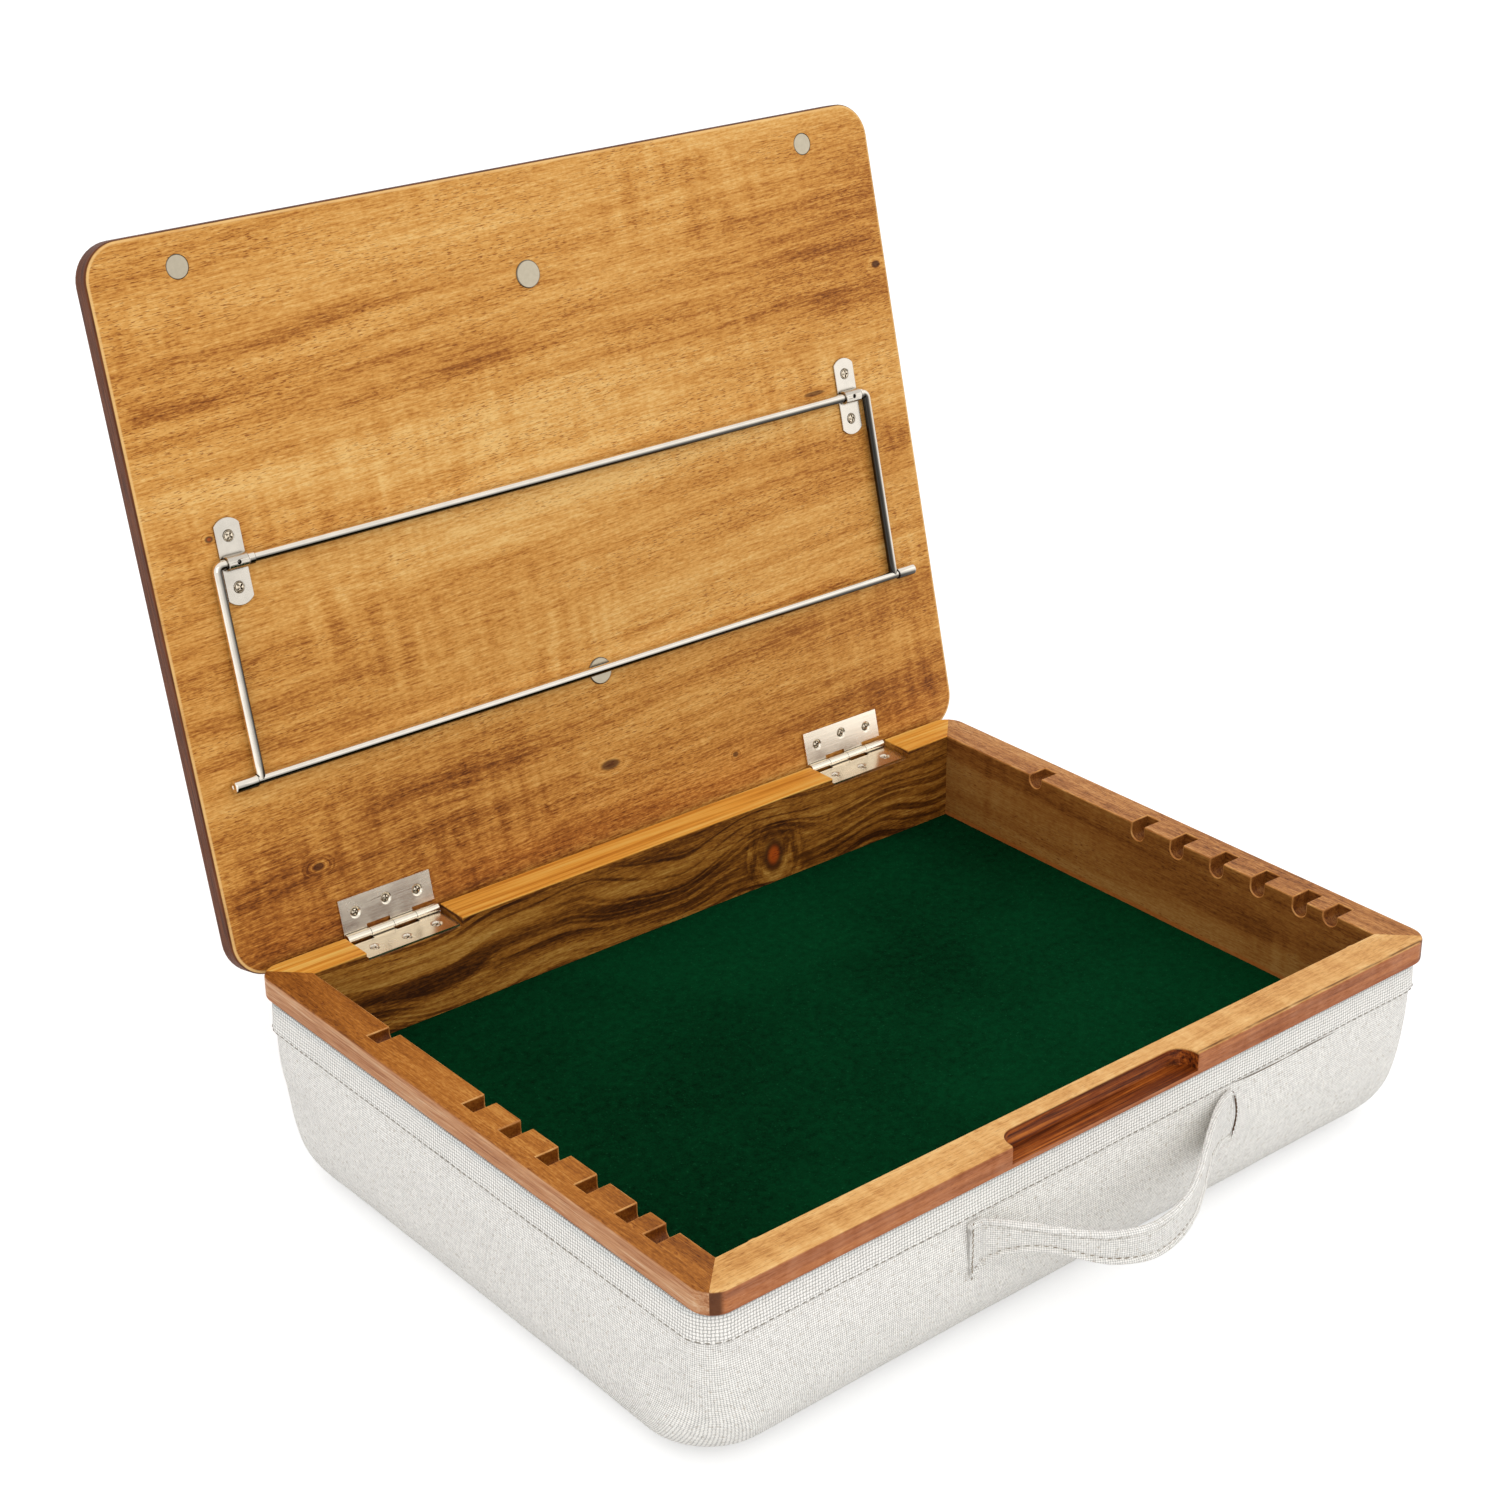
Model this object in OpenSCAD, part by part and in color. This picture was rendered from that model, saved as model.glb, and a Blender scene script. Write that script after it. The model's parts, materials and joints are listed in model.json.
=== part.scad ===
// Lap desk with a lift lid: a shallow mitred tray on a cushioned base.
// The lid is drawn open, as the desk stands when somebody reaches into it.
// Origin: centre of the underside. X runs across the desk, Y to its back, Z up.

/* [Tray] */
// Width of the tray's opening, between the side rails
opening_w = 352; // [300:1:420]
// Depth of the tray's opening, from front rail to back rail
opening_d = 259; // [240:1:300]
// Width of each rail, seen from above
rail_w = 17.2; // [16:0.1:22]
// Height of the rim's top above the table
rim_h = 87; // [78:1:110]
// Height of the wooden band that shows above the cushion
band_h = 10.4; // [9.5:0.1:14]
// Thickness of the tray's walls below the band
wall_t = 10; // [9:0.5:12]
// Depth of the tray, from the rim down to the felt
tray_depth = 41.2; // [30:0.1:50]
// Radius of the rim's corners, seen from above
rim_corner_r = 10; // [8:0.5:14]
// Radius along the rim's outer edges
rim_edge_r = 1.3; // [0.5:0.1:2]
// Thickness of the plywood floor
floor_t = 4; // [3:0.5:6]
// Thickness of the felt
felt_t = 1; // [0.8:0.1:2]

/* [Finger recess] */
// Length of the recess in the front rail
recess_w = 100; // [70:1:130]
// How far the recess reaches in from the front
recess_reach = 9.9; // [7:0.1:11]
// Depth of the recess below the rim
recess_depth = 8; // [6:0.1:9]
// Radius at the two ends of the recess
recess_r = 8; // [5:0.5:9]

/* [Prop notches] */
// Number of deep notches in each side rail
notch_count = 5; // [3:1:5]
// Distance between two deep notches
notch_pitch = 23.55; // [20:0.05:24]
// Place of the rearmost deep notch, forward of the middle when negative
notch_rear_y = 4.6; // [-4:0.1:10]
// Width of a notch
notch_w = 7.5; // [7.2:0.1:9]
// How far a notch reaches into the rail
notch_reach = 10.3; // [10:0.1:12]
// Depth of the deep notches
notch_depth = 8; // [7:0.1:10]
// Depth of the two notches that hold the prop with the lid shut
storage_notch_depth = 5.8; // [5.6:0.1:8]

/* [Lid] */
// Width of the lid
lid_w = 398.8; // [390:0.1:430]
// Depth of the lid
lid_d = 299.7; // [297:0.1:330]
// Thickness of the lid
lid_t = 11; // [10:0.5:14]
// Radius of the lid's corners, seen from above
lid_corner_r = 16; // [10:1:30]
// Radius along the edge of the writing side
lid_edge_r = 3; // [1:0.5:4]
// Radius along the edge of the underside
lid_under_r = 1.5; // [0.5:0.5:3]
// Opening angle of the lid, as drawn
lid_open = 104; // [0:1:104]
// Gap between the shut lid and the rim
lid_gap = 0.2; // [0.1:0.1:0.5]

/* [Hinges] */
// Distance of each hinge from the middle
hinge_x = 127; // [90:1:140]
// Length of a hinge along its pin
hinge_w = 45; // [40:1:60]
// Reach of a leaf from the pin's centre
leaf_reach = 17; // [15:0.1:17]
// Thickness of a leaf
leaf_t = 1.2; // [1:0.1:1.5]
// Outer radius of the knuckles
knuckle_r = 2.2; // [2.2:0.1:2.6]
// Radius of the hinge pin
pin_r = 1; // [0.8:0.1:1]

/* [Prop bail] */
// Distance of the bail's pivot from the lid's rear edge
pivot_from_edge = 168.1; // [160:0.1:175]
// Distance between the pivot bar and the crossbar
bail_reach = 88; // [80:0.1:90]
// Distance of each side arm from the middle
bail_arm_x = 172.3; // [165:0.1:173]
// Length of the crossbar over its sleeves
crossbar_w = 370; // [366:0.5:371]
// Radius of the bail's rod
rod_r = 2; // [1.5:0.1:2]
// Radius of the sleeves on the ends of the crossbar
sleeve_r = 2.6; // [2.4:0.1:2.6]
// Height of the bail's rod above the lid's underside
rod_rise = 2.8; // [2.7:0.1:3]
// Distance of each bracket from the middle
bracket_x = 163.1; // [150:0.1:163.1]
// Length of a bracket
bracket_len = 35.8; // [32:0.1:42]
// Width of a bracket
bracket_w = 11.5; // [10:0.1:12]

/* [Magnets] */
// Diameter of the two corner magnets
corner_magnet_d = 10; // [8:0.5:12]
// Diameter of the two magnets that hold the bail
bail_magnet_d = 12; // [8:0.5:14]
// Distance of the corner magnets from the middle
corner_magnet_x = 160; // [140:1:170]
// Distance of the corner magnets from the lid's rear edge
corner_magnet_t = 285.2; // [284:0.1:288]

/* [Cushion] */
// How far the cushion's sides stand back from the band
side_inset = 1.2; // [0.9:0.1:3]
// How far the cushion's front and back stand back from the band
front_inset = 3; // [2:0.1:4]
// Radius along the cushion's lower side edges
side_round_r = 15; // [10:1:25]
// Radius along the cushion's lower front and back edges
front_round_r = 27; // [15:1:35]
// Outward crown of the cushion's walls
cushion_crown = 1.1; // [0:0.1:1.5]
// Thickness of the quilted canvas cover
cover_t = 1.4; // [1:0.1:2]
// Height of the woven hem band under the wood
hem_h = 13.4; // [8:0.1:20]

/* [Carrying strap] */
// Distance between the strap's sewn ends
strap_span = 143; // [110:1:180]
// Width of the strap
strap_w = 24.5; // [18:0.5:30]
// How far the strap bows out in front of the cushion
strap_bow = 35; // [24:1:50]
// How far the middle of the strap sags
strap_sag = 5; // [0:0.5:8]
// Thickness of the folded strap
strap_t = 2.4; // [1.5:0.1:4]

/* [Hidden] */
$fn = 64;

light_wood = "#cf9a55";
rail_brown = "#b9783a";
panel_gold = "#c8944c";
nickel = "#c9c7c3";
felt_green = "#04351f";
canvas = "#dcd9d2";
canvas_hem = "#d2d2cc";

// Outside of the rim
rim_w = opening_w + 2 * rail_w;
rim_d = opening_d + 2 * rail_w;
band_bottom = rim_h - band_h;
felt_top = rim_h - tray_depth;
floor_top = felt_top - felt_t;
floor_bottom = floor_top - floor_t;
// The floor lies in a rebate along the foot of each wall
rebate = 4;

// The pin stands level with the rim's back face, just below the rim
lid_rear_y = lid_d / 2;
pin_y = rim_d / 2 + 0.3;
pin_z = rim_h + lid_gap - knuckle_r;
lid_under_z = rim_h + lid_gap;
mortise_z = pin_z - knuckle_r;
mortise_gap = 1.2;
knuckles = 4;
knuckle_gap = 0.2;
bore_r = pin_r + 0.05;
slot_reach = knuckle_r + 1.5;
// Screws in a leaf: along the pin, and away from it
leaf_screws = [[-15.3, 10.1], [0, 11.4], [15.3, 10.1]];
screw_head_r = 2.7;
screw_shank_r = 1.3;
screw_head_h = 1.2;

// The bail, with the lid shut and the bail folded towards the hinges
pivot_y = lid_rear_y - pivot_from_edge;
rod_z = lid_under_z - rod_rise;
bail_bend_r = 2.6;
sleeve_len = crossbar_w / 2 - bail_arm_x - rod_r;
saddle_half = 4.6;
bracket_t = 1;
saddle_r = rod_r + 0.06;
bracket_screw_off = 10.45;
bail_magnet_t = [pivot_from_edge - bail_reach - 1.1, pivot_from_edge + bail_reach - 2];
magnet_h = 3;
bail_magnet_proud = 0.6;
keeper_r = 6;
keeper_t = 2;
plug_t = 1.6;

// Places of the notches along a side rail
storage_notches = [pivot_y + bail_reach, pivot_y - bail_reach];
prop_notches = [for (i = [0 : notch_count - 1]) notch_rear_y - i * notch_pitch];

// Levels at which the cushion's form is cut, close together in its rounded foot
foot_levels = [for (i = [0 : 7]) front_round_r * (1 - cos(i * 90 / 7))];
wall_levels = [for (i = [1 : 5]) front_round_r + (band_bottom - front_round_r) * i / 5];
corner_steps = 7;
foot_corner_r = 30;
top_corner_r = 12;

// Shared shapes

// Countersunk cross-head screw, head upwards, its face at z = 0
module countersunk_screw(length) {
    difference() {
        screw_hole(length);
        for (a = [0, 90]) rotate(a + 20) translate([-1.5, -0.3, -0.7]) cube([3, 0.6, 1]);
    }
}

// The hole that such a screw fills
module screw_hole(length) {
    translate([0, 0, -screw_head_h])
        cylinder(h = screw_head_h, r1 = screw_shank_r, r2 = screw_head_r, $fn = 40);
    translate([0, 0, -length])
        cylinder(h = length - screw_head_h, r = screw_shank_r, $fn = 40);
}

// Swings what is drawn on the shut lid up to the open position
module open_lid() {
    translate([0, pin_y, pin_z]) rotate([-lid_open, 0, 0])
        translate([0, -pin_y, -pin_z]) children();
}

// The tray

// Section of a rail: u outwards from the tray, z up
module rail_section() {
    e = rim_edge_r;
    translate([0, band_bottom]) square([rail_w - e, band_h]);
    translate([0, band_bottom + e]) square([rail_w, band_h - 2 * e]);
    for (z = [band_bottom + e, rim_h - e]) translate([rail_w - e, z]) circle(r = e, $fn = 40);
    difference() {
        translate([0, floor_bottom]) square([wall_t, band_bottom - floor_bottom]);
        translate([-1, floor_bottom - 1]) square([rebate + 1, floor_t + 1]);
    }
}

// One rail with mitred ends, along X, its inner face at y = 0
module mitred_rail(inner_len) {
    half = inner_len / 2;
    c = rail_w - rim_corner_r;
    intersection() {
        union() {
            translate([-(half + c), 0, 0]) rotate([90, 0, 90])
                linear_extrude(2 * (half + c)) rail_section();
            for (s = [0, 1]) mirror([s, 0, 0]) translate([half + c, c, 0])
                rotate_extrude(angle = 90, $fn = 96) intersection() {
                    translate([-c, 0]) rail_section();
                    square([rim_corner_r + 1, rim_h + 1]);
                }
        }
        linear_extrude(rim_h + 1) polygon([[-half, 0], [half, 0],
            [half + rail_w + 1, rail_w + 1], [-half - rail_w - 1, rail_w + 1]]);
    }
}

// Room for one notch in a right-hand rail: a slot with a round floor
module notch_room(y, depth) {
    r = notch_w / 2;
    x = opening_w / 2;
    translate([x - 1, y - r, rim_h - depth + r]) cube([notch_reach + 1, notch_w, depth + 1]);
    translate([x - 1, y, rim_h - depth + r]) rotate([0, 90, 0])
        cylinder(h = notch_reach + 1, r = r, $fn = 48);
}

module notched_rail() {
    difference() {
        rotate([0, 0, -90]) translate([0, opening_w / 2, 0]) mitred_rail(opening_d);
        for (y = prop_notches) notch_room(y, notch_depth);
        for (y = storage_notches) notch_room(y, storage_notch_depth);
    }
}

module right_rail() {
    color(rail_brown) notched_rail();
}

module left_rail() {
    color(rail_brown) mirror([1, 0, 0]) notched_rail();
}

module recess_room() {
    half = recess_w / 2;
    back = -rim_d / 2 + recess_reach;
    translate([0, 0, rim_h - recess_depth]) linear_extrude(recess_depth + 1) {
        translate([-half, -rim_d / 2 - 5]) square([recess_w, recess_reach + 5 - recess_r]);
        translate([-half + recess_r, -rim_d / 2 - 5]) square([recess_w - 2 * recess_r, recess_reach + 5]);
        for (s = [-1, 1]) translate([s * (half - recess_r), back - recess_r]) circle(r = recess_r, $fn = 64);
    }
}

module front_rail() {
    keeper_y = lid_rear_y - corner_magnet_t;
    color(light_wood) difference() {
        rotate([0, 0, 180]) translate([0, opening_d / 2, 0]) mitred_rail(opening_w);
        recess_room();
        for (s = [-1, 1]) translate([s * corner_magnet_x, keeper_y, rim_h - plug_t - keeper_t])
            cylinder(h = plug_t + keeper_t + 1, r = keeper_r);
    }
}

// Steel discs under the lid's corner magnets
module rail_keepers() {
    color(nickel) for (s = [-1, 1])
        translate([s * corner_magnet_x, lid_rear_y - corner_magnet_t, rim_h - plug_t - keeper_t])
            cylinder(h = keeper_t, r = keeper_r);
}

// Thin wooden plugs that hide the discs
module keeper_plugs() {
    color(light_wood) for (s = [-1, 1])
        translate([s * corner_magnet_x, lid_rear_y - corner_magnet_t, rim_h - plug_t])
            cylinder(h = plug_t, r = keeper_r);
}

module back_rail() {
    slot_w = hinge_w + 2 * mortise_gap;
    color(rail_brown) difference() {
        translate([0, opening_d / 2, 0]) mitred_rail(opening_w);
        for (s = [-1, 1]) {
            translate([s * hinge_x - slot_w / 2, opening_d / 2 - 1, mortise_z])
                cube([slot_w, rail_w + 2, 10]);
            for (p = leaf_screws)
                translate([s * hinge_x + p[0], pin_y - p[1], mortise_z + leaf_t]) screw_hole(12);
        }
    }
}

module tray_floor() {
    w = opening_w + 2 * rebate - 0.4;
    d = opening_d + 2 * rebate - 0.4;
    color("#b08a55") translate([-w / 2, -d / 2, floor_bottom]) cube([w, d, floor_t]);
}

module felt_liner() {
    w = opening_w - 0.4;
    d = opening_d - 0.4;
    color(felt_green) translate([-w / 2, -d / 2, floor_top]) cube([w, d, felt_t]);
}

// The cushioned base

// How far a wall with a rounded foot of radius r stands back at height z, its face moved in by t
function foot_inset(z, r, t) = z >= r ? t : r - sqrt(max(0, pow(r - t, 2) - pow(r - z, 2)));
// Outward crown between the foot and the band
function crown(z) = z <= front_round_r ? 0 :
    cushion_crown * sin(180 * (z - front_round_r) / (band_bottom - front_round_r));
function corner_r(z) = top_corner_r + (foot_corner_r - top_corner_r) * pow(1 - z / band_bottom, 2);
// Height on the inner face of a shell of thickness t for a level z of the outer face
function inner_z(z, t) = t + z * (band_bottom - t) / band_bottom;

// One closed outline of the cushion at height z, moved in by t
function cushion_ring(z, t) =
    let (x = rim_w / 2 - side_inset - foot_inset(z, side_round_r, t) + crown(z),
         y = rim_d / 2 - front_inset - foot_inset(z, front_round_r, t) + crown(z),
         r = max(4, corner_r(z) - t))
    [for (q = [0 : 3]) for (i = [0 : corner_steps])
        let (a = q * 90 + i * 90 / corner_steps,
             sx = (q == 0 || q == 3) ? 1 : -1,
             sy = q < 2 ? 1 : -1)
        [sx * (x - r) + r * cos(a), sy * (y - r) + r * sin(a), z]];

ring_n = 4 * (corner_steps + 1);

// Skin over a stack of rings, closed by its first and last ring
module skin(rings) {
    n = ring_n;
    k = len(rings);
    polyhedron(
        points = [for (r = rings) for (p = r) p],
        faces = concat(
            [[for (i = [0 : n - 1]) i]],
            [for (j = [0 : k - 2]) for (i = [0 : n - 1])
                [j * n + i, (j + 1) * n + i, (j + 1) * n + (i + 1) % n]],
            [for (j = [0 : k - 2]) for (i = [0 : n - 1])
                [j * n + i, (j + 1) * n + (i + 1) % n, j * n + (i + 1) % n]],
            [[for (i = [n - 1 : -1 : 0]) (k - 1) * n + i]]));
}

cushion_levels = concat(foot_levels, wall_levels);
outer_rings = [for (z = cushion_levels) cushion_ring(z, 0)];
inner_rings = [for (z = cushion_levels) cushion_ring(inner_z(z, cover_t), cover_t)];

module cushion_cover() {
    last = len(cushion_levels) - 1;
    color(canvas) skin(concat(outer_rings, [for (i = [last : -1 : 0]) inner_rings[i]]));
}

module cushion_filling() {
    w = opening_w + 2 * wall_t;
    d = opening_d + 2 * wall_t;
    color("#efece4") difference() {
        skin(inner_rings);
        translate([-w / 2, -d / 2, floor_bottom]) cube([w, d, rim_h]);
    }
}

// Woven band over the top of the cover, sewn along its lower edge
module hem_band() {
    levels = [for (i = [0 : 2]) band_bottom - 0.05 - (2 - i) * hem_h / 2];
    color(canvas_hem) difference() {
        skin([for (z = levels) cushion_ring(z, -0.8)]);
        skin([for (z = [levels[0] - 1, levels[1], levels[2] + 1]) cushion_ring(z, -0.02)]);
    }
}

// Hinges

// A leaf lying below the pin, reaching to -Y, with knuckles at the given places
module hinge_leaf(first) {
    seg = hinge_w / knuckles;
    difference() {
        union() {
            translate([-hinge_w / 2, -leaf_reach, -knuckle_r]) cube([hinge_w, leaf_reach, leaf_t]);
            for (i = [first : 2 : knuckles - 1])
                translate([-hinge_w / 2 + i * seg + knuckle_gap / 2, 0, 0]) rotate([0, 90, 0])
                    cylinder(h = seg - knuckle_gap, r = knuckle_r, $fn = 64);
        }
        translate([-hinge_w, 0, 0]) rotate([0, 90, 0])
            cylinder(h = 2 * hinge_w, r = bore_r, $fn = 64);
        for (i = [1 - first : 2 : knuckles - 1])
            translate([-hinge_w / 2 + i * seg - knuckle_gap / 2, -slot_reach, -knuckle_r - 1])
                cube([seg + knuckle_gap, slot_reach + 3, leaf_t + 2]);
        for (p = leaf_screws) translate([p[0], -p[1], -knuckle_r + leaf_t]) screw_hole(12);
    }
}

module case_leaf() {
    color(nickel) translate([0, pin_y, pin_z]) hinge_leaf(1);
}

module left_case_leaf() {
    translate([-hinge_x, 0, 0]) case_leaf();
}

module right_case_leaf() {
    translate([hinge_x, 0, 0]) case_leaf();
}

// The lid's leaf lies against its underside, above the pin while the lid is shut
module lid_leaf() {
    color(nickel) translate([0, pin_y, pin_z]) mirror([0, 0, 1]) hinge_leaf(0);
}

module left_lid_leaf() {
    open_lid() translate([-hinge_x, 0, 0]) lid_leaf();
}

module right_lid_leaf() {
    open_lid() translate([hinge_x, 0, 0]) lid_leaf();
}

module hinge_pins() {
    len = hinge_w - knuckle_gap;
    color(nickel) for (s = [-1, 1])
        translate([s * hinge_x - len / 2, pin_y, pin_z]) rotate([0, 90, 0])
            cylinder(h = len, r = pin_r, $fn = 64);
}

module case_leaf_screws() {
    color(nickel) for (s = [-1, 1]) for (p = leaf_screws)
        translate([s * hinge_x + p[0], pin_y - p[1], mortise_z + leaf_t]) countersunk_screw(12);
}

module lid_leaf_screws() {
    color(nickel) open_lid() for (s = [-1, 1]) for (p = leaf_screws)
        translate([s * hinge_x + p[0], pin_y - p[1], lid_under_z - leaf_t])
            mirror([0, 0, 1]) countersunk_screw(9);
}

// Lid

// Edge of the lid, from a corner's centre outwards
module lid_edge_section(reach) {
    u = lid_under_r;
    e = lid_edge_r;
    translate([0, u]) square([reach, lid_t - u - e]);
    square([reach - u, u]);
    translate([0, lid_t - e]) square([reach - e, e]);
    translate([reach - u, u]) circle(r = u, $fn = 40);
    translate([reach - e, lid_t - e]) circle(r = e, $fn = 48);
}

// Slab with round corners and softened edges, its underside at z = 0
module soft_slab(w, d) {
    r = lid_corner_r;
    translate([-w / 2 + r, -d / 2 + r, 0]) cube([w - 2 * r, d - 2 * r, lid_t]);
    for (s = [-1, 1]) {
        translate([-s * (w / 2 - r), s * (d / 2 - r), 0]) rotate([90, 0, s * 90])
            linear_extrude(w - 2 * r) lid_edge_section(r);
        translate([s * (w / 2 - r), s * (d / 2 - r), 0]) rotate([90, 0, s > 0 ? 0 : 180])
            linear_extrude(d - 2 * r) lid_edge_section(r);
    }
    for (q = [0 : 3]) {
        sx = (q == 0 || q == 3) ? 1 : -1;
        sy = q < 2 ? 1 : -1;
        translate([sx * (w / 2 - r), sy * (d / 2 - r), 0]) rotate(q * 90)
            rotate_extrude(angle = 90, $fn = 96) intersection() {
                lid_edge_section(r);
                square([r + 1, lid_t + 1]);
            }
    }
}

module lid_panel() {
    color(panel_gold) open_lid() difference() {
        translate([0, 0, lid_under_z]) soft_slab(lid_w, lid_d);
        for (s = [-1, 1]) {
            translate([s * corner_magnet_x, lid_rear_y - corner_magnet_t, lid_under_z - 1])
                cylinder(h = magnet_h + 1, d = corner_magnet_d);
            for (p = leaf_screws)
                translate([s * hinge_x + p[0], pin_y - p[1], lid_under_z - leaf_t])
                    mirror([0, 0, 1]) screw_hole(9);
            for (t = [-1, 1])
                translate([s * bracket_x, pivot_y + t * bracket_screw_off, lid_under_z - bracket_t])
                    mirror([0, 0, 1]) screw_hole(8);
        }
        for (t = bail_magnet_t) translate([0, lid_rear_y - t, lid_under_z - 1])
            cylinder(h = magnet_h + 1, d = bail_magnet_d);
    }
}

module corner_magnets() {
    color(nickel) open_lid() for (s = [-1, 1])
        translate([s * corner_magnet_x, lid_rear_y - corner_magnet_t, lid_under_z])
            cylinder(h = magnet_h, d = corner_magnet_d);
}

module bail_magnets() {
    color(nickel) open_lid() for (t = bail_magnet_t)
        translate([0, lid_rear_y - t, lid_under_z - bail_magnet_proud])
            cylinder(h = magnet_h + bail_magnet_proud, d = bail_magnet_d);
}

// Prop bail

// Flat strap with rounded ends that arches over the rod, its foot at z = 0 and facing up
module prop_bracket() {
    end_r = 7.3;
    end_y = bracket_len / 2 - end_r;
    difference() {
        union() {
            linear_extrude(bracket_t) intersection() {
                square([bracket_w, bracket_len], center = true);
                union() {
                    for (s = [-1, 1]) translate([0, s * end_y]) circle(r = end_r, $fn = 64);
                    square([bracket_w, 2 * end_y], center = true);
                }
            }
            translate([-saddle_half, 0, rod_rise]) rotate([0, 90, 0])
                cylinder(h = 2 * saddle_half, r = saddle_r + bracket_t, $fn = 64);
            translate([-saddle_half, -saddle_r - bracket_t, 0])
                cube([2 * saddle_half, 2 * (saddle_r + bracket_t), rod_rise]);
        }
        translate([-bracket_w, 0, rod_rise]) rotate([0, 90, 0])
            cylinder(h = 2 * bracket_w, r = saddle_r, $fn = 64);
        translate([-bracket_w, -saddle_r, -1])
            cube([2 * bracket_w, 2 * saddle_r, rod_rise + 1]);
        translate([0, 0, rod_rise]) cylinder(h = 10, r = 0.9, $fn = 32);
        for (s = [-1, 1]) translate([0, s * bracket_screw_off, bracket_t]) screw_hole(8);
    }
}

module bracket_on_lid(side) {
    color(nickel) open_lid() translate([side * bracket_x, pivot_y, lid_under_z])
        mirror([0, 0, 1]) prop_bracket();
}

module left_prop_bracket() {
    bracket_on_lid(-1);
}

module right_prop_bracket() {
    bracket_on_lid(1);
}

module bracket_screws() {
    color(nickel) open_lid() for (s = [-1, 1]) for (t = [-1, 1])
        translate([s * bracket_x, pivot_y + t * bracket_screw_off, lid_under_z - bracket_t])
            mirror([0, 0, 1]) countersunk_screw(8);
}

// One bent rod: the pivot bar and two arms that reach to the crossbar
module bail_frame() {
    b = bail_bend_r;
    color(nickel) open_lid() translate([0, pivot_y, rod_z]) difference() {
        union() {
            translate([-(bail_arm_x - b), 0, 0]) rotate([0, 90, 0])
                cylinder(h = 2 * (bail_arm_x - b), r = rod_r, $fn = 64);
            for (s = [0, 1]) mirror([s, 0, 0]) {
                translate([bail_arm_x - b, b, 0]) rotate([0, 0, -90])
                    rotate_extrude(angle = 90, $fn = 64)
                        translate([b, 0]) circle(r = rod_r, $fn = 48);
                translate([bail_arm_x, b, 0]) rotate([-90, 0, 0])
                    cylinder(h = bail_reach - b, r = rod_r, $fn = 64);
            }
        }
        translate([-bail_arm_x - 5, bail_reach, 0]) rotate([0, 90, 0])
            cylinder(h = 2 * bail_arm_x + 10, r = rod_r, $fn = 64);
    }
}

module bail_crossbar() {
    color(nickel) open_lid() translate([-crossbar_w / 2, pivot_y + bail_reach, rod_z])
        rotate([0, 90, 0]) cylinder(h = crossbar_w, r = rod_r, $fn = 64);
}

module bail_end_sleeves() {
    color(nickel) open_lid() for (s = [-1, 1])
        translate([s * (crossbar_w / 2 - sleeve_len / 2), pivot_y + bail_reach, rod_z])
            rotate([0, 90, 0]) difference() {
                cylinder(h = sleeve_len, r = sleeve_r, center = true, $fn = 64);
                cylinder(h = sleeve_len + 1, r = rod_r, center = true, $fn = 64);
            }
}

// Collars that keep the pivot bar from sliding in its brackets
module bail_collars() {
    places = [[-bracket_x + saddle_half + 0.2, 3], [bracket_x + saddle_half + 0.2, 1.6]];
    color(nickel) open_lid() for (p = places)
        translate([p[0], pivot_y, rod_z]) rotate([0, 90, 0]) difference() {
            cylinder(h = p[1], r = sleeve_r, $fn = 64);
            translate([0, 0, -1]) cylinder(h = p[1] + 2, r = rod_r, $fn = 64);
        }
}

// Carrying strap

strap_steps = 30;
strap_peak = -8;
strap_tab = 7;
// Front of the cushion where the strap is sewn on
strap_face_y = -(rim_d / 2 - front_inset + cushion_crown + 0.1);
strap_z = band_bottom - hem_h - 1 - strap_w / 2;

// Bow of the strap at x: fuller on its left, drawn out longer on its right
function strap_out(x) =
    let (l = -strap_span / 2 + strap_tab, r = strap_span / 2 - strap_tab)
    x <= l || x >= r ? 0 :
    x < strap_peak ? strap_bow * pow(sin(90 * (x - l) / (strap_peak - l)), 1.15) :
    strap_bow * pow(sin(90 * (r - x) / (r - strap_peak)), 1.45);
function strap_x(i) = strap_span * (i / strap_steps - 0.5);
function strap_sheer(x) = strap_out(x) / strap_bow;
// Four corners of the strap's section at x, square to its bow
function strap_ring(x) =
    let (d = 0.5,
         slope = (strap_out(x + d) - strap_out(x - d)) / (2 * d),
         m = sqrt(1 + slope * slope),
         n = [-slope / m, -1 / m],
         lean = 1.5 * strap_sheer(x),
         zc = strap_z - strap_sag * strap_sheer(x),
         base = [x, strap_face_y - strap_out(x)])
    [for (c = [[0, -0.5], [1, -0.5], [1, 0.5], [0, 0.5]])
        let (o = c[0] * strap_t + (c[1] > 0 ? 0 : lean))
        [base[0] + o * n[0], base[1] + o * n[1], zc + c[1] * strap_w]];

module carry_strap() {
    k = strap_steps;
    color(canvas) polyhedron(
        points = [for (i = [0 : k]) for (p = strap_ring(strap_x(i))) p],
        faces = concat(
            [[0, 1, 2, 3]],
            [for (j = [0 : k - 1]) for (i = [0 : 3])
                [j * 4 + i, (j + 1) * 4 + i, (j + 1) * 4 + (i + 1) % 4]],
            [for (j = [0 : k - 1]) for (i = [0 : 3])
                [j * 4 + i, (j + 1) * 4 + (i + 1) % 4, j * 4 + (i + 1) % 4]],
            [[4 * k + 3, 4 * k + 2, 4 * k + 1, 4 * k]]));
}

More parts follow.
